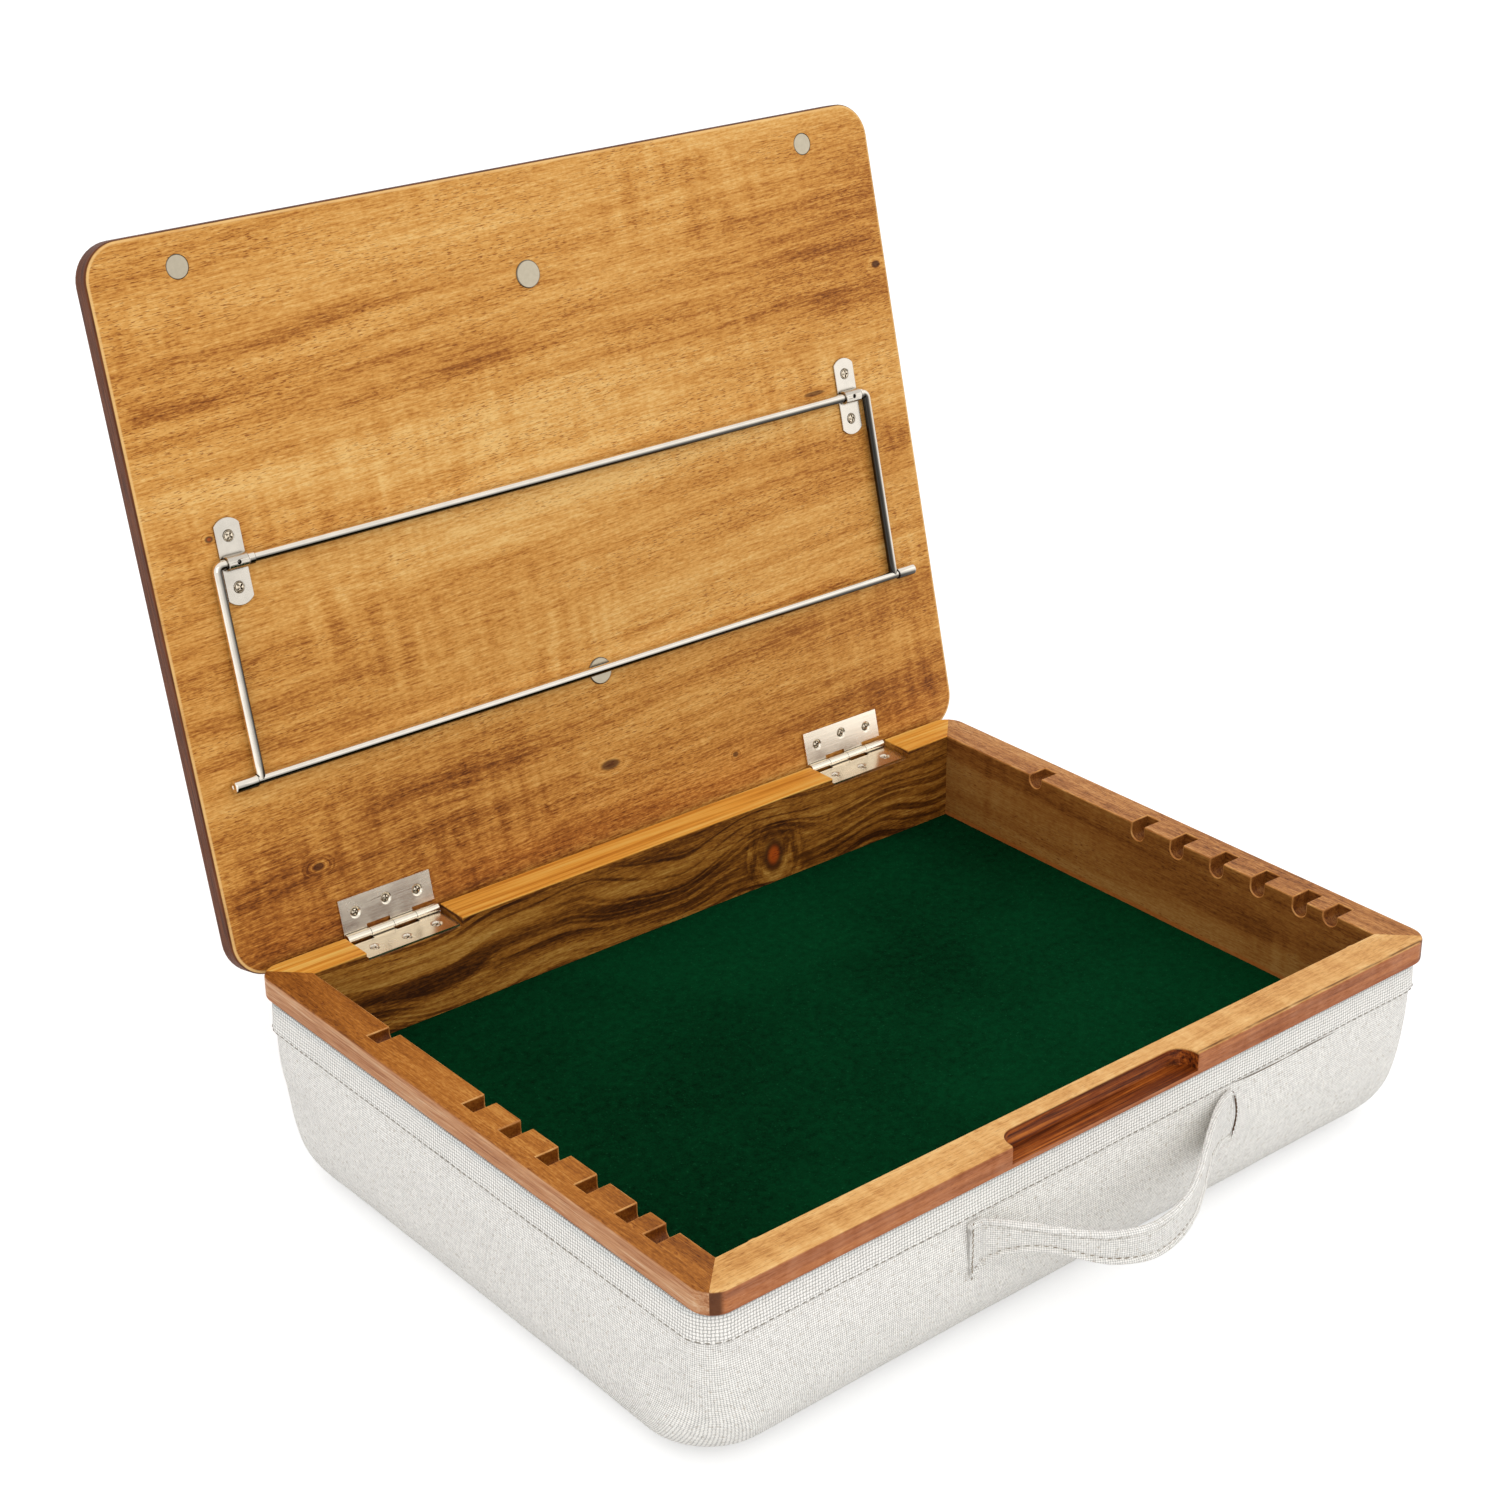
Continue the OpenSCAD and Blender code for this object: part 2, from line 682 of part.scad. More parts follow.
front_rail();
back_rail();
left_rail();
right_rail();
tray_floor();
felt_liner();
rail_keepers();
keeper_plugs();
cushion_filling();
cushion_cover();
hem_band();
carry_strap();
left_case_leaf();
right_case_leaf();
hinge_pins();
case_leaf_screws();
lid_panel();
left_lid_leaf();
right_lid_leaf();
lid_leaf_screws();
corner_magnets();
bail_magnets();
left_prop_bracket();
right_prop_bracket();
bracket_screws();
bail_frame();
bail_crossbar();
bail_end_sleeves();
bail_collars();
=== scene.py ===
"""Looks for a cushioned lap desk with a lift lid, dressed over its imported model."""

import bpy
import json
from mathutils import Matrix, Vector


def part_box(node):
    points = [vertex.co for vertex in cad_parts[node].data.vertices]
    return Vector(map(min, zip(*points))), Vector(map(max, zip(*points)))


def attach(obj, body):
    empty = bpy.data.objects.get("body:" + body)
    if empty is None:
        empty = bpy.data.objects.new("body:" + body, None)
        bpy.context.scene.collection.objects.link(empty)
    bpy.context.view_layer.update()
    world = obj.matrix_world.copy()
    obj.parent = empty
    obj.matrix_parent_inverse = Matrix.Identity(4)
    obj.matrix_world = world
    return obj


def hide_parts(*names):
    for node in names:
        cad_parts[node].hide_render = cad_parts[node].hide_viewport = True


bl_info = {
    "name": "Lap Desk Dressing",
    "version": (1, 0, 0),
    "blender": (4, 5, 0),
    "location": "View3D > Sidebar > Lap Desk",
    "description": "Dresses a cushioned lap desk: timber, canvas, felt and nickel hardware",
    "category": "Add Mesh",
}

import json
import math
import random
from bisect import bisect_right

import bmesh
import bpy
import numpy as np
from bpy.props import FloatProperty, FloatVectorProperty, IntProperty, PointerProperty
from mathutils import Matrix, Vector, noise

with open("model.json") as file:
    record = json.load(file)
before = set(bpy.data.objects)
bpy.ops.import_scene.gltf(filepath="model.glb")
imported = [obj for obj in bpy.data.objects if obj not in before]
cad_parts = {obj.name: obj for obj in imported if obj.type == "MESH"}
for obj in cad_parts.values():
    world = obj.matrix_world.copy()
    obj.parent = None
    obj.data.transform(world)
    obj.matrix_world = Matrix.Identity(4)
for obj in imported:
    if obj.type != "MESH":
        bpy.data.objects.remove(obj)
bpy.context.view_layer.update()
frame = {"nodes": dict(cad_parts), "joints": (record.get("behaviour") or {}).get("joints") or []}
MM = 0.001


def srgb(r, g, b):
    """Linear colour for a tone written in 0 to 255."""
    def channel(v):
        v /= 255
        return v / 12.92 if v <= 0.04045 else ((v + 0.055) / 1.055) ** 2.4
    return channel(r), channel(g), channel(b)


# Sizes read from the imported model
RIM_HALF_W = -min(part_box(node)[0].x for node in ("left_rail", "front_rail", "back_rail"))
RIM_HALF_D = -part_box("front_rail")[0].y
RIM_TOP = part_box("front_rail")[1].z
HEM_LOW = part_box("hem_band")[0].z
HEM_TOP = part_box("hem_band")[1].z
FLOOR_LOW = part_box("tray_floor")[0].z
FELT_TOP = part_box("felt_liner")[1].z
FELT_GAP, REBATE_WALL = 0.2 * MM, 6.2 * MM
WALL_INNER_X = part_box("felt_liner")[1].x + FELT_GAP
WALL_HALF_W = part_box("tray_floor")[1].x + REBATE_WALL
WALL_HALF_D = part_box("tray_floor")[1].y + REBATE_WALL
STRAP_FACE_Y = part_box("carry_strap")[1].y
JOINTS = {j["name"]: j for j in frame["joints"]}
PIN = Vector(JOINTS["lid_hinge"]["pos_m"])
PIVOT = Vector(JOINTS["bail_swing"]["pos_m"])
LID_OPEN = math.radians(JOINTS["lid_hinge"]["range_deg"][1])
# From the shut lid to the open one, and back
OPEN = Matrix.Translation(PIN) @ Matrix.Rotation(-LID_OPEN, 4, "X") @ Matrix.Translation(-PIN)
SHUT = OPEN.inverted()

# Sizes of the model as drawn, on the shut desk
RAIL_ROUND = 10 * MM
LID_HALF_W, LID_HALF_D, LID_ROUND = 0.1994, 0.14985, 16 * MM
DISC_X, DISC_Y, DISC_CLEAR = 0.160, -0.13535, 7 * MM
SCREW_CLEAR = 1.9 * MM
ROD_RADIUS, ARM_REACH, ROD_BEND = 2 * MM, 88 * MM, 2.6 * MM
CUSHION_ROUND, CUSHION_FLARE = 12 * MM, 18 * MM

# The camera of the picture
CAMERA_EYE = (-0.674609, -0.758966, 0.654384)
CAMERA_RIGHT = (0.7583663, -0.6518285, 0.0004392)
CAMERA_DOWN = (-0.2771445, -0.3230520, -0.9048914)
CAMERA_AHEAD = (0.5899759, 0.6861173, -0.4256424)
CAMERA_LENS = 67.778
CAMERA_SHIFT = (-0.0400, 0.0036)


def length_setting(name, description, millimetres):
    return FloatProperty(name=name, description=description, default=millimetres * MM, unit="LENGTH")


def colour_setting(name, description, *colour):
    return FloatVectorProperty(name=name, description=description, subtype="COLOR", default=srgb(*colour))


class LapDeskCushion(bpy.types.PropertyGroup):
    side_inset: length_setting("Side inset", "How far the cushion's sides stand back from the band", 1.0)
    front_inset: length_setting("Front inset", "How far its front and back stand back from the band", 3.0)
    side_round: length_setting("Side rounding", "Radius along the lower side edges", 15)
    front_round: length_setting("Front rounding", "Radius along the lower front and back edges", 27)
    crown: length_setting("Crown", "Outward crown of the walls before the cloth is blown up", 0.6)
    pressure: FloatProperty(name="Pressure", description="Air pressure that fills the cloth", default=4.0)
    swell: length_setting("Largest swell", "Most that the cloth may move as it fills", 2.0)
    thread: length_setting("Thread pitch", "Distance between two threads of the canvas", 0.95)
    hem_thread: length_setting("Hem thread pitch", "Distance between two cords of the hem band", 1.4)


class LapDeskStrap(bpy.types.PropertyGroup):
    span: length_setting("Span", "Distance between the sewn ends", 143)
    width: length_setting("Width", "Width of the strap", 24.5)
    bow: length_setting("Bow", "How far the strap bows out", 35)
    sag: length_setting("Sag", "How far its middle sags", 5)
    peak: length_setting("Peak", "Where the bow is deepest", -8)


class LapDeskTimber(bpy.types.PropertyGroup):
    edge: length_setting("Worn edge", "Rounding of the rails' sharp edges", 0.45)
    gold: colour_setting("Golden wood", "Main tone of the lid", 204, 140, 62)
    rail: colour_setting("Rail wood", "Main tone of the side rails", 145, 84, 29)
    pale: colour_setting("Pale wood", "Main tone of the front rail's top", 224, 170, 102)


class LapDeskFinish(bpy.types.PropertyGroup):
    canvas: colour_setting("Canvas", "Tone of the washed canvas", 252, 249, 243)
    felt: colour_setting("Felt", "Tone of the green felt", 2, 50, 24)
    nickel: colour_setting("Nickel", "Tone of the plated hardware", 226, 218, 205)
    stitch: length_setting("Stitch length", "Length of one stitch", 2.6)
    seed: IntProperty(name="Seed", description="Starts the small irregularities", default=7)


# Node graphs


class Wire:
    """A node's output. Sums, differences and products of wires and numbers make nodes of their own: vector
    nodes where either side has three parts, math nodes elsewhere."""

    def __init__(self, finish, socket):
        self.finish, self.socket = finish, socket
        self.wide = socket.type in ("VECTOR", "RGBA")

    def __add__(self, other):
        return self.finish.combine("ADD", self, other)

    def __sub__(self, other):
        return self.finish.combine("SUBTRACT", self, other)

    def __rsub__(self, other):
        return self.finish.combine("SUBTRACT", other, self)

    def __mul__(self, other):
        return self.finish.combine("MULTIPLY", self, other)

    def __abs__(self):
        return self.finish.math("ABSOLUTE", self)

    def length(self):
        return self.finish.vector("LENGTH", self)

    def dot(self, direction):
        return self.finish.vector("DOT_PRODUCT", self, tuple(direction))

    def parts(self):
        node = self.finish.node("ShaderNodeSeparateXYZ", {0: self})
        return [Wire(self.finish, part) for part in node.outputs]

    def noise(self, stretch, detail=2.0, rough=0.5, output=0):
        """Noise at this place; stretch says how fine it is along each axis."""
        return self.finish.out("ShaderNodeTexNoise", {"Vector": self * stretch, "Scale": 1.0,
                                                      "Detail": detail, "Roughness": rough}, output)

    def uneven(self, stretch):
        """Three noises at this place, each about zero."""
        return self.noise(stretch, output="Color") - (0.5, 0.5, 0.5)

    def remap(self, low, high, to_low=0.0, to_high=1.0):
        """A smooth step from one range to another."""
        return self.finish.out("ShaderNodeMapRange", {"Value": self, "From Min": low, "From Max": high,
                                                      "To Min": to_low, "To Max": to_high},
                               interpolation_type="SMOOTHSTEP")

    def ramp(self, *stops):
        node = self.finish.node("ShaderNodeValToRGB", {"Fac": self})
        elements = node.color_ramp.elements
        while len(elements) < len(stops):
            elements.new(0.5)
        for element, (at, colour) in zip(elements, stops):
            element.position = at
            element.color = (*colour, 1.0)
        return Wire(self.finish, node.outputs[0])

    def mixed(self, share, colour):
        """This colour with a share of another one."""
        return self.finish.out("ShaderNodeMix", {0: share, 6: self, 7: colour}, 2, data_type="RGBA")

    def bump(self, depth, strength):
        return self.finish.out("ShaderNodeBump", {"Height": self, "Distance": depth, "Strength": strength})


class Finish:
    """Builds the node graph of one finish."""

    def __init__(self, name):
        self.material = bpy.data.materials.new(name)
        self.material.use_nodes = True
        self.nodes = self.material.node_tree.nodes
        self.links = self.material.node_tree.links

    def feed(self, socket, value):
        if isinstance(value, Wire):
            self.links.new(value.socket, socket)
        elif socket.type == "RGBA":
            socket.default_value = (*value, 1.0)
        elif socket.type == "VECTOR" and isinstance(value, (int, float)):
            socket.default_value = (value,) * 3
        else:
            socket.default_value = value

    def node(self, kind, inputs=(), **settings):
        node = self.nodes.new(kind)
        for key, value in settings.items():
            setattr(node, key, value)
        for key, value in dict(inputs).items():
            self.feed(node.inputs[key], value)
        return node

    def out(self, kind, inputs=(), output=0, **settings):
        return Wire(self, self.node(kind, inputs, **settings).outputs[output])

    def math(self, operation, *values, clamp=False):
        return self.out("ShaderNodeMath", enumerate(values), operation=operation, use_clamp=clamp)

    def vector(self, operation, *values):
        output = "Value" if operation in ("LENGTH", "DOT_PRODUCT") else "Vector"
        return self.out("ShaderNodeVectorMath", enumerate(values), output, operation=operation)

    def combine(self, operation, a, b):
        wide = any(isinstance(value, tuple) or getattr(value, "wide", False) for value in (a, b))
        return self.vector(operation, a, b) if wide else self.math(operation, a, b)

    def join(self, x, y, z=0.0):
        return self.out("ShaderNodeCombineXYZ", {"X": x, "Y": y, "Z": z})

    def place(self):
        return self.out("ShaderNodeTexCoord", output="Object")

    def done(self, colour, rough, normal, **constants):
        sockets = self.nodes["Principled BSDF"].inputs
        for key, value in {"Base Color": colour, "Roughness": rough, "Normal": normal, **constants}.items():
            self.feed(sockets[key.replace("_", " ")], value)
        return self.material


KNOT, KNOT_CORE, PORE = srgb(70, 34, 14), srgb(190, 84, 22), srgb(168, 128, 92)


def acacia(name, tones, turn=None, seed=0.0, slope=0.0, knots=(), streaks=(), glows=(), contrast=1.0,
           extra=None, pores=1.0, curl=1.0, wave=0.0, fuzz=1.0):
    """Oiled acacia: streaky bands, fibres and pores along X of the turned place, with knots and dark streaks.
    tones run from dark to light. A knot is (x, y, half length, half width, depth, orange core or 0), a streak
    (x, y, x, y, width, depth), and a glow, which lifts the tone, (x, y, half length, half width, lift). wave
    draws thin dark rings that swing along the board and part round the first knot."""
    f = Finish(name)
    flat = f.place()
    if turn is not None:
        flat = f.out("ShaderNodeMapping", {"Vector": flat, "Location": turn.to_translation(),
                                           "Rotation": tuple(turn.to_euler())})
    sloped = f.out("ShaderNodeMapping", {"Vector": flat, "Rotation": (0, 0, slope)}) if slope else flat
    straight = sloped + (seed * 1.37, seed * 0.71, seed * 0.43)
    wander = straight.uneven((5, 15, 15))
    place = straight + wander * (0, 0.020, 0.012)
    knot_marks = []
    for x, y, half_l, half_w, depth, core in knots:
        away = (flat - (x, y, 0)) * (1 / half_l, 1 / half_w, 0) + wander * 1.6
        gap = (away * (1, 1, 0)).length()
        place = place + f.join(0.0, 0.0, gap.remap(0.0, 3.4, 0.055, 0.0))
        knot_marks.append((gap, depth, core))
    broad = place.noise((2.2, 34, 34))
    bands = place.noise((5.5, 120, 120), 3, 0.6)
    fibre = straight.noise((110, 1500, 1500), 2, 0.75)
    fleck = straight.noise((420, 800, 800), 2, 0.6)
    silk = straight.noise((150, 24, 24))
    silk_area = straight.noise((7, 14, 14), 1).remap(0.45, 0.62, 0.0, 0.52 * contrast * curl)
    figure = (broad - 0.5) * contrast + 0.5
    for grain, share in ((bands, 0.85 * contrast), (fibre, 0.85 * fuzz), (fleck, 0.50 * fuzz),
                         (silk, silk_area)):
        figure = figure + (grain - 0.5) * share
    if wave:
        away = flat - (*knots[0][:2], 0)
        near = (away * (1 / 0.034, 1 / 0.020, 0)).length().remap(0.0, 1.0, 0.92, 0.0)
        swing = (flat.noise((13, 22, 22), 1) - 0.5) * 0.030
        rings = (flat + f.join(0.0, swing - away.parts()[1] * near)).noise((2.5, 330, 4), 2, 0.55)
        figure = figure - rings.remap(0.47, 0.62, 0.0, wave) * \
            flat.noise((9, 60, 1), 1).remap(0.35, 0.6, 0.35, 1.0)
    for x0, y0, x1, y1, width, depth in streaks:
        run = Vector((x1 - x0, y1 - y0, 0))
        away = flat - (x0, y0, 0)
        along = f.math("DIVIDE", away.dot(run), run.length_squared, clamp=True)
        off = away * (1, 1, 0) - along * tuple(run) + wander * (0, 0.03, 0)
        figure = figure - off.length().remap(0.0, width, depth, 0.0) * bands.remap(0.35, 0.62, 1.3, 0.3)
    for x, y, half_l, half_w, lift in glows:
        away = (flat - (x, y, 0)) * (1 / half_l, 1 / half_w, 0)
        figure = figure + away.length().remap(0.0, 1.0, lift, 0.0)
    colour = figure.ramp(*tones)
    for gap, depth, core in knot_marks:
        colour = colour.mixed(gap.remap(0.75, 1.25, depth, 0.0), KNOT)
        if core:
            colour = colour.mixed(gap.remap(0.25, 0.75, core, 0.0), KNOT_CORE)
    vessel = straight.noise((280, 2400, 2400), 1).remap(0.60, 0.66)
    vessel = vessel * straight.noise((14, 70, 70)).remap(0.38, 0.62, 0.25, 1.0) * (0.80 * pores)
    colour = colour.mixed(vessel, colour * PORE)
    if extra is not None:
        colour = extra(colour, flat)
    normal = (fibre - vessel).bump(0.15 * MM, 0.5)
    return f.done(colour, figure.remap(0.2, 0.8, 0.55, 0.45), normal, Specular_IOR_Level=0.16)


def weave_height(cells):
    """The threads' height in a plain weave, one over and one under, at a place counted in threads."""
    f = cells.finish
    across, along, _ = cells.parts()
    odd = f.math("MODULO", abs(f.math("FLOOR", across) + f.math("FLOOR", along)), 2.0)
    cu, cv = (f.math("COSINE", (f.math("FRACT", count) - 0.5) * math.pi) for count in (across, along))
    return cu * (cv * 0.45 + 0.55) * odd + cv * (cu * 0.45 + 0.55) * (1.0 - odd)


def linen(name, colour, pitch, fleck=1.0, gaps=0.3, shade=None, depth=0.22 * MM):
    """Washed canvas: plain weave with slubs, flecks and a soft nap, laid out by the UV map. fleck says how
    uneven its threads are, and gaps how dark the painted shade in the spaces between them is."""
    f = Finish(name)
    flat = f.out("ShaderNodeUVMap", uv_map="weave")
    cells = (flat + flat.uneven((70, 70, 1)) * (pitch * 1.1, pitch * 1.1, 0)) * (1 / pitch)
    height = weave_height(cells)
    slubs = flat.noise((1100, 120, 1), 2, 0.6) + flat.noise((120, 1100, 1), 2, 0.6)
    yarn = f.out("ShaderNodeTexWhiteNoise", {"Vector": f.vector("FLOOR", cells)}, "Value",
                 noise_dimensions="2D")
    # Painted shade: the tone follows the threads' height, darker in the gaps between them.
    grey = (slubs - 1.0) * (0.24 * fleck) + (yarn - 0.5) * (0.15 * fleck) + \
        height.remap(0.2, 0.75, 1.0 - gaps, 1.10)
    speck = flat.noise((620, 620, 1), 1).remap(0.60, 0.72, 0.0, 0.42 * fleck)
    tint = (grey * tuple(colour)).mixed(speck, srgb(172, 156, 134))
    if shade is not None:
        tint = shade(tint)
    return f.done(tint, 0.92, (height + slubs * 0.35).bump(depth, 0.8), Specular_IOR_Level=0.18,
                  Sheen_Weight=0.12, Sheen_Roughness=0.6)


def nickel(name, tone=1.0, rough=0.16, brushed=0.0, along=300, crevice_shade_reach=1.6 * MM, reflection_dark_side=None,
           tint=(1.0, 1.0, 1.0)):
    """Bright nickel plate with polishing marks, a little handling haze, and painted shade in its corners and
    slots.
    Given a direction, round stock gets a painted reflection: dark on the side that faces that way and bright
    on the other; it also darkens towards the middle of the part."""
    f = Finish(name)
    place = f.place()
    haze = place.noise(90, 3, 0.6)
    marks = place.noise(along)
    shade = haze.remap(0.3, 0.7, 0.90 * tone, tone) + (marks - 0.5) * brushed
    colour = shade * tuple(bpy.context.scene.lap_desk_finish.nickel) * tint
    # Painted reflection: round stock is darkened on the side that faces the given direction and on its sides
    # that face the middle, and lifted above its tone on the other side.
    if reflection_dark_side is not None:
        normal = f.out("ShaderNodeTexCoord", output="Normal")
        inward = normal.parts()[0] * f.math("SIGN", place.parts()[0]) * -0.345
        levels = ((0.12, 1.1), (0.36, 1.0), (0.49, 0.5), (0.58, 0.14), (0.70, 0.05))
        side = normal.dot(reflection_dark_side) * 0.36 + inward + 0.5
        colour = colour * side.ramp(*[(at, (grey,) * 3) for at, grey in levels])
    # Painted shade: ambient occlusion darkens corners, slots and contact lines to dark brown.
    corner = f.out("ShaderNodeAmbientOcclusion", {"Distance": crevice_shade_reach}, "AO", samples=6)
    colour = colour.mixed(corner.remap(0.30, 0.85, 0.92, 0.0), srgb(34, 26, 20))
    return f.done(colour, haze.remap(0.3, 0.7, rough - 0.03, rough + 0.06),
                  marks.bump(0.02 * MM, 0.2 + brushed), Metallic=1.0)


# Mesh helpers


def hand_over(piece, body, slot, *nodes):
    """Puts a piece on the body it rides on and hides the nodes it stands for. slot is not used."""
    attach(piece, body)
    if nodes:
        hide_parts(*nodes)


def link(name, mesh, material):
    piece = bpy.data.objects.new(name, mesh)
    bpy.context.scene.collection.objects.link(piece)
    mesh.materials.append(material)
    return piece


def mesh_piece(name, points, faces, material, uvs=None):
    mesh = bpy.data.meshes.new(name)
    mesh.from_pydata([tuple(p) for p in points], [], faces)
    if uvs is not None:
        mesh.uv_layers.new(name="weave").data.foreach_set("uv", np.array(uvs, np.float32).reshape(-1))
    bm = bmesh.new()
    bm.from_mesh(mesh)
    bmesh.ops.recalc_face_normals(bm, faces=bm.faces)
    bm.to_mesh(mesh)
    bm.free()
    mesh.shade_smooth()
    return link(name, mesh, material)


def softened(node, name, material, width=0.0, keep=lambda middle: True, angle=32, worn=None):
    """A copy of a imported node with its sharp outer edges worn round, the rounding in a finish of its own."""
    mesh = bpy.data.meshes.new(name)
    bm = bmesh.new()
    bm.from_mesh(frame["nodes"][node].data)
    bmesh.ops.remove_doubles(bm, verts=bm.verts, dist=3e-6)
    bmesh.ops.dissolve_limit(bm, angle_limit=math.radians(0.7), verts=bm.verts, edges=bm.edges)
    bmesh.ops.recalc_face_normals(bm, faces=bm.faces)
    weights = bm.edges.layers.float.new("bevel_weight_edge")
    for edge in bm.edges:
        if not width or len(edge.link_faces) != 2:
            continue
        middle = (edge.verts[0].co + edge.verts[1].co) / 2
        mitre = abs(RIM_HALF_W - abs(middle.x) - RIM_HALF_D + abs(middle.y)) < 0.1 * MM
        if edge.is_convex and edge.calc_face_angle(0) > math.radians(angle) and not mitre and keep(middle):
            edge[weights] = 1.0
    for layer in list(bm.loops.layers.uv.values()):
        bm.loops.layers.uv.remove(layer)
    bm.to_mesh(mesh)
    bm.free()
    mesh.shade_smooth()
    mesh.set_sharp_from_angle(angle=math.radians(30))
    piece = link(name, mesh, material)
    if width:
        bevel = piece.modifiers.new("Worn edges", "BEVEL")
        bevel.limit_method = "WEIGHT"
        bevel.width = width
        bevel.segments = 3
        bevel.use_clamp_overlap = False
        if worn is not None:
            mesh.materials.append(worn)
            bevel.material = 1
    even = piece.modifiers.new("Flat faces", "WEIGHTED_NORMAL")
    even.weight = 100
    even.keep_sharp = True
    return piece


def dress(node, material):
    """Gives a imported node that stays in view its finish."""
    data = frame["nodes"][node].data
    data.materials.clear()
    data.materials.append(material)


def pairs(items):
    """Each item of a closed run with the next one."""
    items = list(items)
    return list(zip(items, items[1:] + items[:1]))


def walked(points):
    """The length walked to each point of a path."""
    out = [0.0]
    for a, b in zip(points, points[1:]):
        out.append(out[-1] + math.dist(a, b))
    return out


def skin(rows, sides, base=0, capped=True):
    """Faces between rings of points with this many sides each, over the last ring, and over the first where it
    is capped."""
    starts = [base + i * sides for i in range(rows)]
    faces = [(here + j, here + k, there + k, there + j)
             for here, there in zip(starts, starts[1:]) for j, k in pairs(range(sides))]
    if capped:
        faces.append(tuple(base + j for j in reversed(range(sides))))
    faces.append(tuple(starts[-1] + j for j in range(sides)))
    return faces


def woven(rows, sides, spot, closed=False):
    """Faces between rings of points, and the place in the weave that spot gives for each of their corners."""
    faces, uvs = [], []
    for i in range(rows if closed else rows - 1):
        for j in range(sides):
            corners = ((i, j), (i + 1, j), (i + 1, j + 1), (i, j + 1))
            faces.append(tuple(a % rows * sides + b % sides for a, b in corners))
            uvs += [spot(a, b) for a, b in corners]
    return faces, uvs


def grid_faces(nx, ny, base):
    corners = [base + j * (nx + 1) + i for j in range(ny) for i in range(nx)]
    return [(a, a + 1, a + nx + 2, a + nx + 1) for a in corners]


def grid_border(nx, ny, base):
    """The points round the edge of a grid, in order."""
    last = ny * (nx + 1) + nx
    return [base + i for i in range(nx)] + [base + nx + j * (nx + 1) for j in range(ny)] + \
        [base + last - i for i in range(nx)] + [base + (ny - j) * (nx + 1) for j in range(ny)]


def walls(one, other):
    """Faces between two closed runs of points."""
    return [(a, b, d, c) for (a, b), (c, d) in zip(pairs(one), pairs(other))]


def circle(sides):
    """Even angles round a circle."""
    return [2 * math.pi * j / sides for j in range(sides)]


def screw_places(node, down):
    """The middle of each screw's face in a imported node, as on the shut desk."""
    turn = SHUT if down else Matrix.Identity(4)
    spots = []
    for vertex in frame["nodes"][node].data.vertices:
        point = turn @ vertex.co
        near = [spot for spot in spots if math.dist(spot[0][:2], point[:2]) < 5 * MM]
        if near:
            near[0].append(point)
        else:
            spots.append([point])
    out = []
    for spot in spots:
        low, high = ([pick(p[i] for p in spot) for i in range(3)] for pick in (min, max))
        out.append(Vector(((low[0] + high[0]) / 2, (low[1] + high[1]) / 2, low[2] if down else high[2])))
    return out


def cut(distance, half):
    """1 inside a slot of this half width, 0 outside, with a narrow slope."""
    return min(1.0, max(0.0, (half + 0.08 * MM - distance) / (0.16 * MM)))


def cross_heads(name, places, size, sunk, dome, down, material, rng):
    """Domed cross-head screws, each sunk a little in its hole, with a cross and a ring cut into the dome."""
    points, faces = [], []
    n = 36
    rows = [-1 + 2 * i / n for i in range(n + 1)]
    reach, slot_half, ring_at, ring_half = 0.66 * size, 0.30 * MM, 0.84 * size, 0.10 * MM
    for place in places:
        base = len(points)
        turn = Matrix.Rotation(rng.uniform(0, math.pi / 2), 2)
        for v in rows:
            for u in rows:
                x, y = u * math.sqrt(1 - v * v / 2), v * math.sqrt(1 - u * u / 2)
                r2 = x * x + y * y
                across, along = (abs(part) for part in turn @ Vector((x * size, y * size)))
                slot = max(cut(across, slot_half) * cut(along, reach),
                           cut(along, slot_half) * cut(across, reach))
                ring = cut(abs(math.sqrt(r2) * size - ring_at), ring_half)
                height = dome * max(0.0, 1 - r2) ** 0.8 - sunk - max(slot * 0.75, ring * 0.40) * MM
                points.append(place + Vector((x * size, y * size, -height if down else height)))
        rim = grid_border(n, n, base)
        foot = list(range(len(points), len(points) + len(rim)))
        points += [points[k] + Vector((0, 0, (0.5 if down else -0.5) * MM)) for k in rim]
        faces += grid_faces(n, n, base) + walls(rim, foot) + [tuple(foot)]
    if down:
        points = [OPEN @ p for p in points]
    piece = mesh_piece(name, points, faces, material)
    piece.data.set_sharp_from_angle(angle=math.radians(50))
    return piece


def swept_rod(name, path, radius, material, sides=28, end_round=0.35 * MM):
    """A round rod along a path, its ends rounded over."""
    path = [Vector(p) for p in path]
    tangents = [(b - a).normalized() for a, b in zip(path[:1] + path[:-1], path[1:] + path[-1:])]
    side = tangents[0].orthogonal().normalized()
    rings = []
    for p, t in zip(path, tangents):
        side = (side - t * side.dot(t)).normalized()
        rings.append((p, side, t.cross(side), radius))

    def end(ring, inward, steps=4):
        middle, side, up, _ = ring
        angles = [math.pi / 2 * k / steps for k in range(steps + 1)]
        return [(middle + inward * end_round * (1 - math.cos(a)), side, up,
                 radius - end_round * (1 - math.sin(a))) for a in angles]

    stack = end(rings[0], tangents[0]) + rings[1:-1] + end(rings[-1], -tangents[-1])[::-1]
    points = [p + (s * math.cos(a) + u * math.sin(a)) * r for p, s, u, r in stack for a in circle(sides)]
    return mesh_piece(name, points, skin(len(stack), sides), material)


